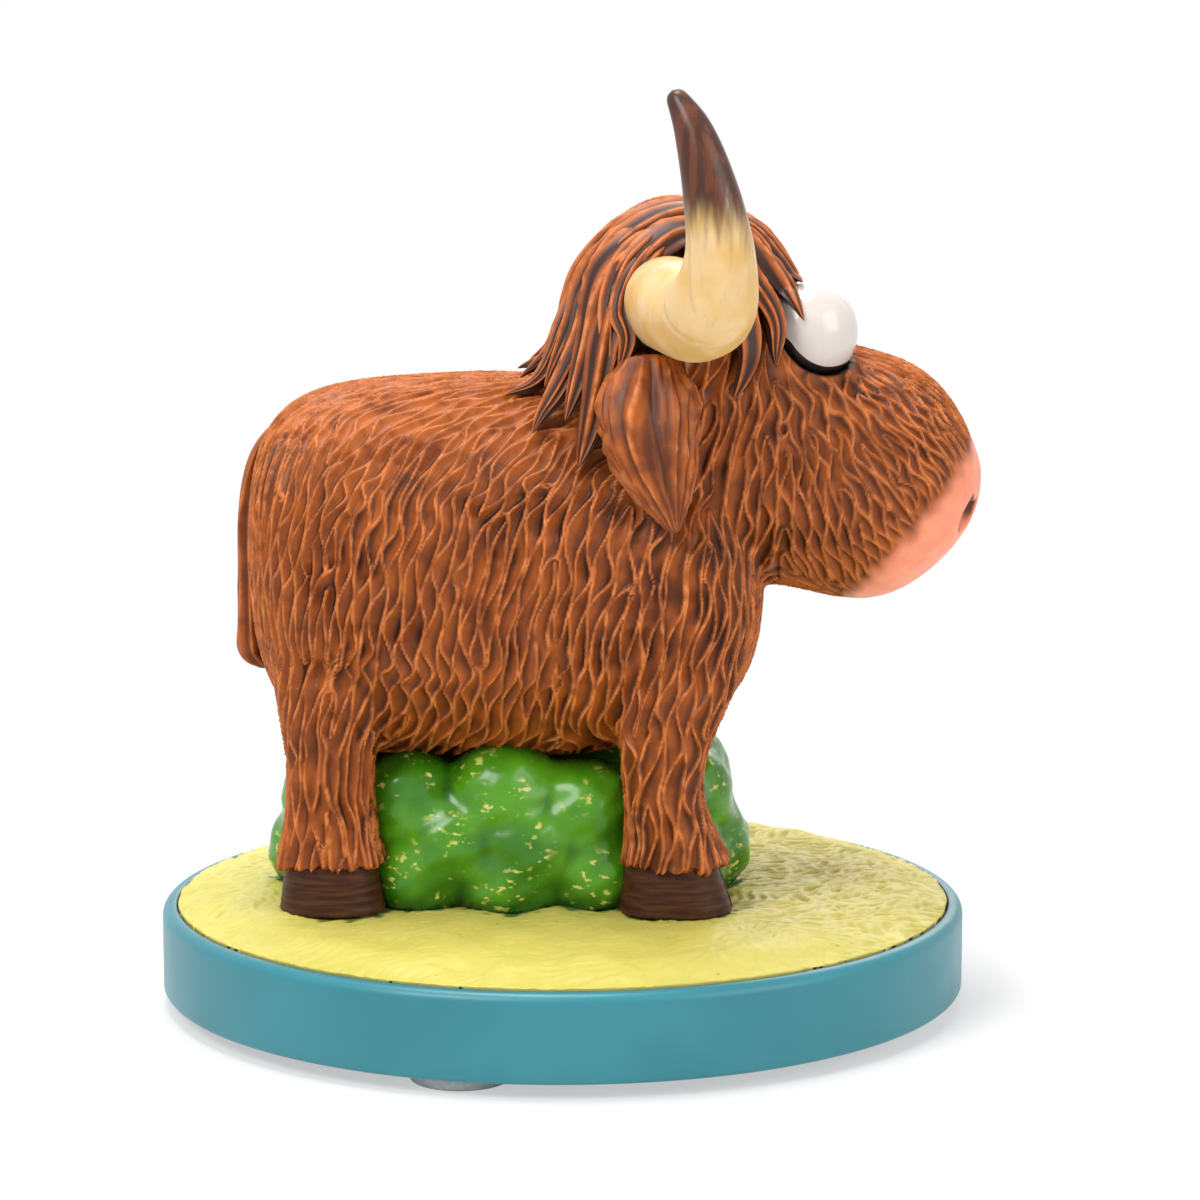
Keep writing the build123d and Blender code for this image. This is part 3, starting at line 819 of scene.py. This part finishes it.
def coat():
    """Torso, legs and head in one carved skin, kept as near and far halves of three parts."""
    mesh = even_mesh(joined_copy("body", "head", "muzzle"), COAT_VOXEL, 8)
    points, normals = corners(mesh)
    x, y, z = points.T
    height = z - GROUND
    ahead = ahead_of(points, MUZZLE_TOP, MUZZLE_CHIN)
    above_legs = smooth(height, 26, 28)
    pink = smooth(ahead + 0.4 * ripple(points, 3, 5), -1.9, 0.5) * above_legs
    face = smooth(x, 24, 34) * smooth(height, 28, 34)
    rump = smooth(-x, 28, 36) * smooth(height, 16, 24)
    shank = 1 - smooth(height, 8, 22)
    length = STROKE_LENGTH - 3.8 * face + 3.0 * rump - 0.8 * shank
    width = STROKE_WIDTH - 0.5 * face - 0.5 * rump - 0.5 * shank
    depth = STROKE_DEPTH - 0.3 * rump - 0.2 * face
    depth = depth * (1 - smooth(ahead, -3.5, 0.0) * above_legs)
    depth *= smooth(eye_reach(points), 1.05, 1.3)
    scoops = Scoops(mesh, points, normals, hair_lie(points, normals), length, width)

    # Shape: scoops cut in, crests raised a little, tufts over the hooves and the nostrils
    deep = smooth(ripple(points, 6, 81), 0.3, 0.8)
    side = scoops.lean * np.tanh(4 * ripple(points, 14, 82) + 2)
    cut = depth * scoops.hollow * (0.75 + 0.4 * deep) * (1 + 0.5 * side)
    crest = (1 - smooth(scoops.edge, 0.05, 0.23)) * smooth(depth, 0.05, 0.3)
    shaped = points + normals * (0.1 * crest - cut)[:, None] + fringe(points, normals)
    slit = nostril(points)
    shaped -= normals * (0.9 * (1 - smooth(slit, 0.2, 1.1)))[:, None]
    place_corners(mesh, shaped)

    # Paint: brushed crests, painted shade on one side of the scoops, painted shade on the nape
    # under the mane, a painted sheen on the upward-facing back, ink lines and glue at the horns
    # Painted shade on the nape, under the mane and behind the ear
    nape = np.exp(-(((x - 13) / 9) ** 2) - ((z - 64) / 11) ** 2)
    worn = 0.72 + 0.4 * smooth(ripple(points, 3, 84), -0.35, 0.45)
    # Painted sheen: the upward-facing back is lightened, and less painted shade is put there
    back = smooth(normals[:, 2], 0.3, 0.9) * smooth(height, 46, 58) * (1 - face)
    shadow = smooth(side, -0.4, 0.6) * smooth(scoops.hollow, 0.02, 0.3) * (0.72 + 0.28 * deep)
    lid = 1 - smooth(eye_reach(points), 1.075, 1.125)
    lid *= smooth(EYE_MIDDLE[2] + 1.5 - z, 0.0, 1.0)
    near = folded(points)
    to_horn = [np.linalg.norm(near - np.array(row[:3]), axis=1) for row in HORN_PATH[:3]]
    glue = 1 - smooth(np.min(to_horn, axis=0), 6.0, 7.4)
    # Brushed crests with the painted sheen of the back, painted shade in the scoops, and a tone
    # darkened by painted shade on the nape
    store(
        mesh,
        ridge=np.clip(np.maximum(crest * worn, 0.45 * back), 0, 1) * (1 - pink),
        groove=shadow * (1 - 0.6 * back) * (1 - pink),
        tone=np.clip(0.35 + 0.35 * ripple(points, 7, 83) + 0.45 * nape, 0, 1) * (1 - pink),
        pink=pink,
        ink=np.maximum(lid, 0.85 * (1 - smooth(slit, 0.72, 0.98))),
        glue=glue * smooth(ripple(points, 1.6, 12), 0.0, 0.5) * 0.8,
    )
    on_head = ahead_of(points, NECK_BACK, NECK_THROAT) > 0
    part = np.where(on_head, 0, np.where(x > -8, 1, 2))
    split_coat(mesh, 2 * part + (y > 0))


def split_coat(mesh, label):
    """Parts the coat by its vertices' labels. The whole skin's normals stay, so no seam shows."""
    paint = coat_paint()
    whole = corners(mesh)[1]
    first = read(mesh.polygons, "loop_start")
    corner = read(mesh.loops, "vertex_index")
    mesh.polygons.foreach_set("material_index", label[corner[first]].astype(np.int32))
    origin = mesh.attributes.new("origin", "INT", "POINT")
    origin.data.foreach_set("value", np.arange(len(mesh.vertices), dtype=np.int32))
    parts = {"head": ("head", "muzzle"), "forequarter": ("body",), "hindquarter": ("body",)}
    names = [(f"coat_{part}_{side}", nodes) for part, nodes in parts.items() for side in SIDES]
    for number, (name, nodes) in enumerate(names):
        bm = bmesh.new()
        bm.from_mesh(mesh)
        others = [face for face in bm.faces if face.material_index != number]
        bmesh.ops.delete(bm, geom=others, context="FACES")
        for face in bm.faces:
            face.material_index = 0
        shell = finished(bm, name)
        set_piece(name, shell, paint, "coat_paint", *nodes)
        index = read(shell.attributes["origin"].data, "value")
        shell.normals_split_custom_set_from_vertices(whole[index].tolist())
        shell.attributes.remove(shell.attributes["origin"])


def rolled(bm, rings, segments, place):
    """Closed tube: a grid rolled up by a function of the share along it and the angle round it."""
    fields = bm.verts.layers.float
    layers = [(name, fields.get(name) or fields.new(name)) for name in HAIR_FIELDS]
    grid = bmesh.ops.create_grid(bm, x_segments=rings, y_segments=segments, size=1.0)
    made = grid["verts"]
    flat = np.array([vert.co for vert in made])
    points, values = place((flat[:, 0] + 1) / 2, (flat[:, 1] + 1) * pi)
    for index, vert in enumerate(made):
        vert.co = points[index] * MM
        for name, layer in layers:
            vert[layer] = values[name][index]
    bmesh.ops.remove_doubles(bm, verts=made, dist=2e-6)


def path_frame(stations):
    """Ways across and out of a path's stations, with out turned away from the head's middle."""
    along = unit(np.gradient(stations, axis=0))
    out = stations - HEAD_CORE
    out = unit(out - (out * along).sum(1, keepdims=True) * along)
    return np.cross(out, along), out


def at_share(values, share):
    """Rows of values at shares of their length."""
    place = share * (len(values) - 1)
    low = np.minimum(place.astype(int), len(values) - 2)
    part = (place - low)[:, None]
    return values[low] * (1 - part) + values[low + 1] * part


def scalloped(angle, flutes):
    """Round-bottomed grooves between sharp crests: 1 on a crest, -1 in a groove."""
    return 1 - 2 * np.abs(np.sin(flutes * angle / 2)) ** 0.8


def clear_of_eyes(points):
    """Points moved out to just over an eyeball where they would be inside it."""
    middle = EYE_MIDDLE * np.where(points[:, 1:2] > 0, (1.0, -1.0, 1.0), 1.0)
    offset = (points - middle) / EYE_HALF
    reach = np.maximum(np.linalg.norm(offset, axis=1, keepdims=True), 1e-6)
    return middle + offset * np.maximum(reach, EYE_CLEARANCE) / reach * EYE_HALF


def lock(bm, path, half_width, half_depth, seed):
    """Tapered, wavy lock of hair with a few broad grooves along it."""
    wave = np.random.default_rng(seed)
    flutes = int(wave.integers(5, 8))
    stations = through(path, 60)
    across, out = path_frame(stations)
    share = np.linspace(0, 1, 60)
    turns, lag = wave.uniform(0.8, 1.5), wave.uniform(0, 2 * pi)
    sway = 0.5 * share * np.sin(2 * pi * turns * share + lag)
    stations = clear_of_eyes(stations + across * sway[:, None])
    twist, start = wave.uniform(-0.9, 0.9), wave.uniform(0, 2 * pi)
    shade = wave.uniform(0.0, 0.5)

    def place(run, angle):
        taper = np.minimum(1, (run / 0.1 + 1e-6) ** 0.5) * np.maximum(1 - run**2.6, 0) ** 0.8
        uneven = angle + 0.22 * np.sin(2 * angle + start)
        uneven = uneven + twist * run + 0.1 * np.sin(7 * run + start)
        crest = scalloped(uneven, flutes)
        swell = taper * (1 + 0.2 * crest)
        wide = half_width * np.cos(angle) * swell
        deep = half_depth * np.sin(angle) * swell
        points = at_share(stations, run) + at_share(across, run) * wide[:, None]
        # Painted shade on the sides and underside of the lock, and in the grooves between its
        # flutes
        underside = 1 - smooth(np.sin(angle), 0.1, 0.65)
        fields = {
            "ridge": smooth(crest, 0.0, 0.7) * smooth(np.sin(angle), 0.2, 0.6),
            "groove": np.maximum(smooth(-crest, 0.0, 0.85), underside),
            "tone": shade + 0.2 * np.sin(9 * run + 2 * angle),
        }
        return points + at_share(out, run) * deep[:, None], fields

    rolled(bm, 56, 10 * flutes, place)


def on_skin(skin, points, lift):
    """Moves a path's points to a height above the skin."""
    placed = []
    for point in points:
        spot, normal, _, _ = skin.find_nearest(Vector(point) * MM)
        placed.append(np.array(spot) / MM + lift * np.array(normal))
    return placed


def hair(name, locks, skin, paint, node, seed):
    """Locks of the near side and the middle, mirrored with other waves on the far side."""
    bm = bmesh.new()
    for index, (half_width, half_depth, *path) in enumerate(locks):
        for side in (1.0, -1.0) if path[1][1] < -1 else (1.0,):
            turned = [(x, y * side, z) for x, y, z in path]
            laid = on_skin(skin, turned, 0.55 * half_depth)
            laid = [0.5 * a + 0.5 * np.array(b) for a, b in zip(laid, turned)]
            lock(bm, laid, half_width, half_depth, seed + 10 * index + int(side))
    set_piece(name, turned_out(bm, name), paint, "hair_paint", node)


def tube(name, rows, rings, segments, paint, slot, node, shape):
    """Tube through rows of x, y, z and half widths, with a relief that depends on run and angle."""
    bm = bmesh.new()
    stations = through(rows, rings * 2)
    across, out = path_frame(stations[:, :3])

    def place(run, angle):
        row = at_share(stations, run)
        wide, deep = row[:, 3], row[:, -1]
        swell, fields = shape(run, angle)
        closed = np.minimum(1, np.maximum(np.minimum(run, 1 - run), 0) / 0.03)
        closed = np.sqrt(1 - (1 - closed) ** 2)
        swell = swell * closed
        points = row[:, :3] + at_share(across, run) * (wide * np.cos(angle) * swell)[:, None]
        return points + at_share(out, run) * (deep * np.sin(angle) * swell)[:, None], fields

    rolled(bm, rings, segments, place)
    set_piece(name, turned_out(bm, name), paint, slot, node)


def fluted(flutes, depth, seed):
    """Relief of uneven lengthwise grooves that wander and fork a little."""
    start = np.random.default_rng(seed).uniform(0, 2 * pi)

    def shape(run, angle):
        uneven = angle + 0.14 * np.sin(3 * angle + start)
        uneven = uneven + 0.1 * np.sin(6 * run + 2 * angle + start)
        crest = scalloped(uneven, flutes)
        forks = scalloped(uneven + 0.3, 2 * flutes) * smooth(np.sin(5 * angle + 4 * run), 0.0, 0.8)
        fade = smooth(run, 0.0, 0.12) * (1 - smooth(run, 0.9, 1.0))
        # Painted shade in the grooves between the flutes
        fields = {
            "ridge": smooth(crest + 0.4 * forks, 0.1, 0.7) * (0.4 + 0.6 * fade),
            "groove": smooth(-crest - 0.3 * forks, 0.45, 1.0) * 0.65 * fade,
            "tone": 0.3 + 0.3 * np.sin(9 * run + 3 * np.cos(angle)),
        }
        return 1 + depth * (crest + 0.35 * forks) * fade, fields

    return shape


def folded_leaf(flutes, depth, seed, side):
    """Fluted relief with a fold down the outer face, as on an ear."""
    plain = fluted(flutes, depth, seed)

    def shape(run, angle):
        swell, fields = plain(run, angle)
        fold = np.exp(-(((np.cos(angle) - 0.2 * side) / 0.17) ** 2))
        fold *= smooth(np.sin(angle), 0.0, 0.5)
        fold *= smooth(run, 0.06, 0.25) * (1 - smooth(run, 0.7, 0.95))
        # Painted shade in the fold down the outer face
        fields["groove"] = np.maximum(fields["groove"], 0.85 * fold)
        fields["ridge"] = fields["ridge"] * (1 - fold)
        return swell * (1 - 0.42 * fold), fields

    return shape


def mirrored(rows, sign):
    return [(row[0], row[1] * sign, *row[2:]) for row in rows]


def eyes(skin):
    """Eyeballs with a dark line where their lower half meets the coat."""
    for side, sign in SIDES.items():
        name = f"eyeball_{side}"
        flip = np.array([1, sign, 1])
        middle = EYE_MIDDLE * flip
        bm = bmesh.new()
        bmesh.ops.create_uvsphere(bm, u_segments=96, v_segments=64, radius=1.0)
        bmesh.ops.scale(bm, verts=bm.verts, vec=EYE_HALF * MM)
        bmesh.ops.translate(bm, verts=bm.verts, vec=middle * MM)
        mesh = finished(bm, name)
        points = corners(mesh)[0]
        gap = np.array([skin.find_nearest(Vector(point) * MM)[3] for point in points]) / MM
        store(mesh, line=smooth(middle[2] + 1.0 - points[:, 2], 0.0, 2.0) - gap)
        paint = eye_paint(middle + unit(GAZE * flip) * EYE_HALF)
        set_piece(name, mesh, paint, "eye_paint", f"eye_{side}")


def hooves():
    paint = hoof_paint()
    for node in HOOVES:
        mesh = even_mesh(joined_copy(node), 0.32, 3)
        points, normals = corners(mesh)
        low, high = box_mm(node)
        aside = np.abs(points[:, 1] - ((low + high) / 2)[1])
        behind_toe = high[0] - points[:, 0]
        ring = 0.025 * np.sin(points[:, 2] * 2 * pi / 1.1 + 2.0 * ripple(points, 5, 9))
        place_corners(mesh, points + normals * ring[:, None])
        store(mesh, cleft=(1 - smooth(aside, 0.35, 0.7)) * (1 - smooth(behind_toe, 2.4, 3.4)))
        set_piece(f"{node}_shell", mesh, paint, "hoof_paint", node)


def bush_lobes():
    """Lobes in view, then those on the other sides along the bush's outline."""
    middle, half = middle_half("bush")
    size = np.random.default_rng(41)
    lobes = list(BUSH_NEAR)
    for level, spread, turn in BUSH_TIERS:
        for number in range(BUSH_ROUND):
            angle = 2 * pi * (number + turn) / BUSH_ROUND
            radius = size.uniform(6.0, 7.2)
            if sin(angle) < -0.55:
                continue
            x = middle[0] + (spread * half[0] - 0.95 * radius) * cos(angle)
            y = middle[1] + (spread * half[1] - 0.95 * radius) * sin(angle)
            lobes.append((x, y, level + size.uniform(-0.8, 0.8), radius))
    return lobes


def bush():
    """Soft pillows grown into each other, with rounded creases that are softer on the far side."""
    middle, half = middle_half("bush")
    bm = bmesh.new()
    core = bmesh.ops.create_icosphere(bm, subdivisions=4, radius=1.0)["verts"]
    bmesh.ops.scale(bm, verts=core, vec=half * BUSH_CORE * MM)
    bmesh.ops.translate(bm, verts=core, vec=middle * MM - Vector((0, 0, 1.5 * MM)))
    for x, y, z, radius in bush_lobes():
        made = bmesh.ops.create_icosphere(bm, subdivisions=4, radius=radius * MM)["verts"]
        bmesh.ops.translate(bm, verts=made, vec=Vector((x, y, z)) * MM)
    mesh = even_mesh(bm, 0.8, 14)
    firm = relaxed(mesh, corners(mesh)[0], 10)
    far = smooth(firm[:, 1:2], -8, 0)
    place_corners(mesh, firm + far * (relaxed(mesh, firm, 24) - firm))
    points, normals = corners(mesh)
    calm = relaxed(mesh, points, 90)
    hollow = ((calm - points) * normals).sum(1)
    points = points + normals * (0.14 * ripple(points, 3.4, 21))[:, None]
    points[:, 2] = np.maximum(points[:, 2], GROUND)
    place_corners(mesh, points)
    # Painted shade in the creases between the lobes and at the foot where the bush meets the ground
    foot = 1 - smooth(points[:, 2] - GROUND, 0.4, 2.6)
    crease = np.clip(smooth(hollow, 0.02, 0.38) + 0.6 * foot, 0, 1)
    store(mesh, crease=crease, proud=smooth(-hollow, -0.1, 0.15))
    set_piece("bush_clump", mesh, bush_paint(), "bush_paint", "bush")


def round_plate():
    """Plate of a square grid's cells drawn into a circle, with a wall and a floor, divided once."""
    bm = bmesh.new()
    cells = {"x_segments": GRASS_CELLS, "y_segments": GRASS_CELLS}
    bmesh.ops.create_grid(bm, **cells, size=GRASS_RADIUS * MM)
    for vert in bm.verts:
        x, y = vert.co.x, vert.co.y
        square = max(abs(x), abs(y))
        far = (x * x + y * y) ** 0.5
        if far > 0:
            vert.co.x, vert.co.y = x * square / far, y * square / far
        vert.co.z = GRASS_HIGH[2] * MM
    rim = [edge for edge in bm.edges if edge.is_boundary]
    for item in bmesh.ops.extrude_edge_only(bm, edges=rim)["geom"]:
        if isinstance(item, bmesh.types.BMVert):
            item.co.z = GRASS_LOW[2] * MM
    bmesh.ops.contextual_create(bm, geom=[edge for edge in bm.edges if edge.is_boundary])
    divide = {"levels": 1, "render_levels": 1, "subdivision_type": "SIMPLE"}
    return through_modifiers(turned_out(bm, "grass"), ("SUBSURF", divide))


def feet_reach(points):
    """Distance outside the places where the bush and the hooves stand, in millimetres."""
    reach = np.full(len(points), 99.0)
    for x, y, z, radius in bush_lobes():
        low = max(radius**2 - (z - GROUND) ** 2, 0.0) ** 0.5
        if low > 0:
            reach = np.minimum(reach, np.hypot(points[:, 0] - x, points[:, 1] - y) - low)
    for node in HOOVES:
        middle, half = middle_half(node)
        gap = (points[:, :2] - middle[:2]) / half[:2]
        reach = np.minimum(reach, (np.hypot(gap[:, 0], gap[:, 1]) - 1) * 6.5 + 0.5)
    return reach


def grass():
    """Plate with plaster-like dabs, a wavy painted edge and green stains round bush and hooves."""
    mesh = round_plate()
    points = corners(mesh)[0]
    top = points[:, 2] > GRASS_HIGH[2] - 0.1
    far = np.hypot(points[:, 0], points[:, 1])
    slope = smooth(far, GRASS_RADIUS - 7.0, GRASS_RADIUS + 1.0)
    points[:, 2] -= top * slope * (GRASS_HIGH[2] - DISC_HIGH[2] - 0.2)
    flat = points * np.array([1, 1, 0])
    points[:, :2] *= 1 - (0.0016 * smooth(far, 40, 48) * (1 + ripple(flat, 5, 31)))[:, None]
    points[:, 2] += top * 0.22 * ripple(flat, 9, 32) * (1 - smooth(far, 44, 48))
    lie = unit(np.stack([-0.75 + 0.5 * ripple(flat, 22, 33), -0.8 + 0 * far, 0 * far], 1))
    depth = 0.12 + 0.36 * smooth(points[:, 1] + 0.5 * points[:, 0], -24, 8)
    depth += 0.14 * smooth(-points[:, 0], 26, 40)
    order = rng.permutation(np.flatnonzero(top))[:DAB_PLACES]
    dabs = Strokes(flat, lie, DAB_LENGTH, DAB_WIDTH, order)
    cut = depth * dabs.scoop * dabs.share(0.3, 1.2) * (1 + 0.5 * dabs.lean)
    crest = 1 - smooth(dabs.edge, 0.05, 0.35)
    points[:, 2] += top * (0.06 * crest - cut)
    place_corners(mesh, points)
    reach = feet_reach(points)
    # Painted shade in the dabs' hollows, darkest where they are cut deepest
    store(
        mesh,
        groove=smooth(cut, 0.12, 0.4) * 0.9,
        ridge=crest * 0.8 * smooth(depth, 0.14, 0.4),
        specks=0.35 + 0.65 * (1 - smooth(reach, 1.0, 9.0)),
        stain=(1 - smooth(reach + 0.9 * ripple(flat, 2.2, 35), 0.0, 0.9)) * 0.9,
    )
    set_piece("grass_top", mesh, grass_paint(), "grass_paint", "grass_plate")


def disc():
    """Plinth disc turned from its half outline, with a rounded rim and the recess for the grass."""
    bottom, top, floor = DISC_LOW[2], DISC_HIGH[2], GRASS_LOW[2]
    inner = GRASS_RADIUS + RECESS_GAP
    outline = [(0.0, bottom), (DISC_RADIUS - RIM_LOW, bottom)]
    for step in range(7):
        angle = pi / 2 * step / 6
        radius = DISC_RADIUS - RIM_LOW + RIM_LOW * sin(angle)
        outline.append((radius, bottom + RIM_LOW - RIM_LOW * cos(angle)))
    for step in range(4):
        outline.append((DISC_RADIUS, bottom + 2.0 + 1.8 * step))
    for step in range(9):
        angle = pi / 2 * step / 8
        radius = DISC_RADIUS - RIM_HIGH + RIM_HIGH * cos(angle)
        outline.append((radius, top - RIM_HIGH + RIM_HIGH * sin(angle)))
    outline += [(inner + RECESS_BEVEL, top), (inner, top - RECESS_BEVEL)]
    outline += [(inner, floor), (0.0, floor)]
    bm = bmesh.new()
    ring = [bm.verts.new((radius * MM, 0, height * MM)) for radius, height in outline]
    edges = [bm.edges.new(pair) for pair in zip(ring, ring[1:])]
    circle = {"cent": (0, 0, 0), "axis": (0, 0, 1), "angle": 2 * pi, "steps": 240}
    bmesh.ops.spin(bm, geom=ring + edges, **circle, use_merge=True)
    bmesh.ops.remove_doubles(bm, verts=bm.verts, dist=1e-6)
    mesh = turned_out(bm, "disc")
    points = corners(mesh)[0]
    far = np.hypot(points[:, 0], points[:, 1])
    seam = 1 - smooth(far, inner + 0.15, inner + 0.55)
    store(mesh, seam=seam * smooth(points[:, 2], top - 1.2, top - 0.4))
    set_piece("plinth_disc", mesh, teal_paint(), "teal_paint", "base_disc")


def pads():
    paint = pad_rubber()
    for number in range(1, 5):
        node = f"foot_pad_{number}"
        middle, half = middle_half(node)
        sizes = {"radius1": half[0] * MM, "radius2": half[0] * MM, "depth": 2 * half[2] * MM}
        bm = bmesh.new()
        bmesh.ops.create_cone(bm, cap_ends=True, segments=72, **sizes)
        bmesh.ops.translate(bm, verts=bm.verts, vec=middle * MM)
        level = box_mm(node)[0][2] * MM + 1e-5
        foot = [edge for edge in bm.edges if all(vert.co.z < level for vert in edge.verts)]
        rounding = {"offset": PAD_ROUND * MM, "segments": 4, "profile": 0.5, "affect": "EDGES"}
        bmesh.ops.bevel(bm, geom=foot, **rounding, material=-1)
        name = f"{node}_rubber"
        set_piece(name, finished(bm, name), paint, "pad", node)


def pins():
    paint = pin_steel()
    for node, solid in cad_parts.items():
        if "_pin" in node:
            solid.data.materials.clear()
            solid.data.materials.append(paint)


def stage():
    """Pale floor that keeps the object's shadow, soft lamps and the camera of the photo's view."""
    scene = bpy.context.scene
    scene.view_settings.view_transform = "Standard"
    bm = bmesh.new()
    bmesh.ops.create_grid(bm, x_segments=1, y_segments=1, size=FLOOR_HALF)
    mesh = finished(bm, "floor")
    floor = bpy.data.objects.new("floor", mesh)
    scene.collection.objects.link(floor)
    mesh.materials.append(floor_paper())

    world = bpy.data.worlds.new("studio")
    scene.world = world
    world.use_nodes = True
    tree = world.node_tree
    light = {"Value": seen_rays(tree), "To Min": ROOM_LIGHT, "To Max": 1.0}
    strength = add_node(tree, "MapRange", light, "Result")
    feed(tree, tree.nodes["Background"], {"Color": (1, 1, 1), "Strength": strength})

    for name, (place, size, watts) in LAMPS.items():
        lamp = bpy.data.lights.new(name, "AREA")
        lamp.size = size
        lamp.energy = watts
        holder = bpy.data.objects.new(name, lamp)
        holder.location = place
        aim = LAMP_AIM - Vector(place)
        holder.rotation_euler = aim.to_track_quat("-Z", "Y").to_euler()
        scene.collection.objects.link(holder)

    camera = bpy.data.cameras.new("camera")
    camera.sensor_width = CAMERA_SENSOR
    camera.lens = CAMERA_LENS
    camera.clip_start = 0.01
    eye = bpy.data.objects.new("camera", camera)
    eye.location = [value * MM for value in CAMERA_PLACE]
    eye.rotation_euler = (radians(90 - CAMERA_PITCH), 0, radians(CAMERA_TURN))
    scene.collection.objects.link(eye)
    scene.camera = eye


stage()
skin_bm = joined_copy("body", "head", "muzzle")
skin_tree = bvhtree.BVHTree.FromBMesh(skin_bm)
skin_bm.free()
hair_finish = hair_paint()
coat()
hair("mane_locks", MANE_LOCKS, skin_tree, hair_finish, "mane", 100)
hair("forelock_locks", FORELOCKS, skin_tree, hair_finish, "forelock", 500)
horn_finish = horn_paint()
horn_relief = fluted(5, 0.012, 4)
for side_name, side_sign in SIDES.items():
    horn_name, ear_name = f"horn_{side_name}", f"ear_{side_name}"
    horn, ear = mirrored(HORN_PATH, side_sign), mirrored(EAR_PATH, side_sign)
    ear_relief = folded_leaf(17, 0.14, 7, side_sign)
    tube(f"{horn_name}_shell", horn, 90, 48, horn_finish, "horn_paint", horn_name, horn_relief)
    tube(f"{ear_name}_leaf", ear, 70, 88, hair_finish, "hair_paint", ear_name, ear_relief)
tube("tail_strand", TAIL_PATH, 90, 56, hair_finish, "hair_paint", "tail", fluted(7, 0.2, 9))
eyes(skin_tree)
hooves()
bush()
grass()
disc()
pads()
pins()
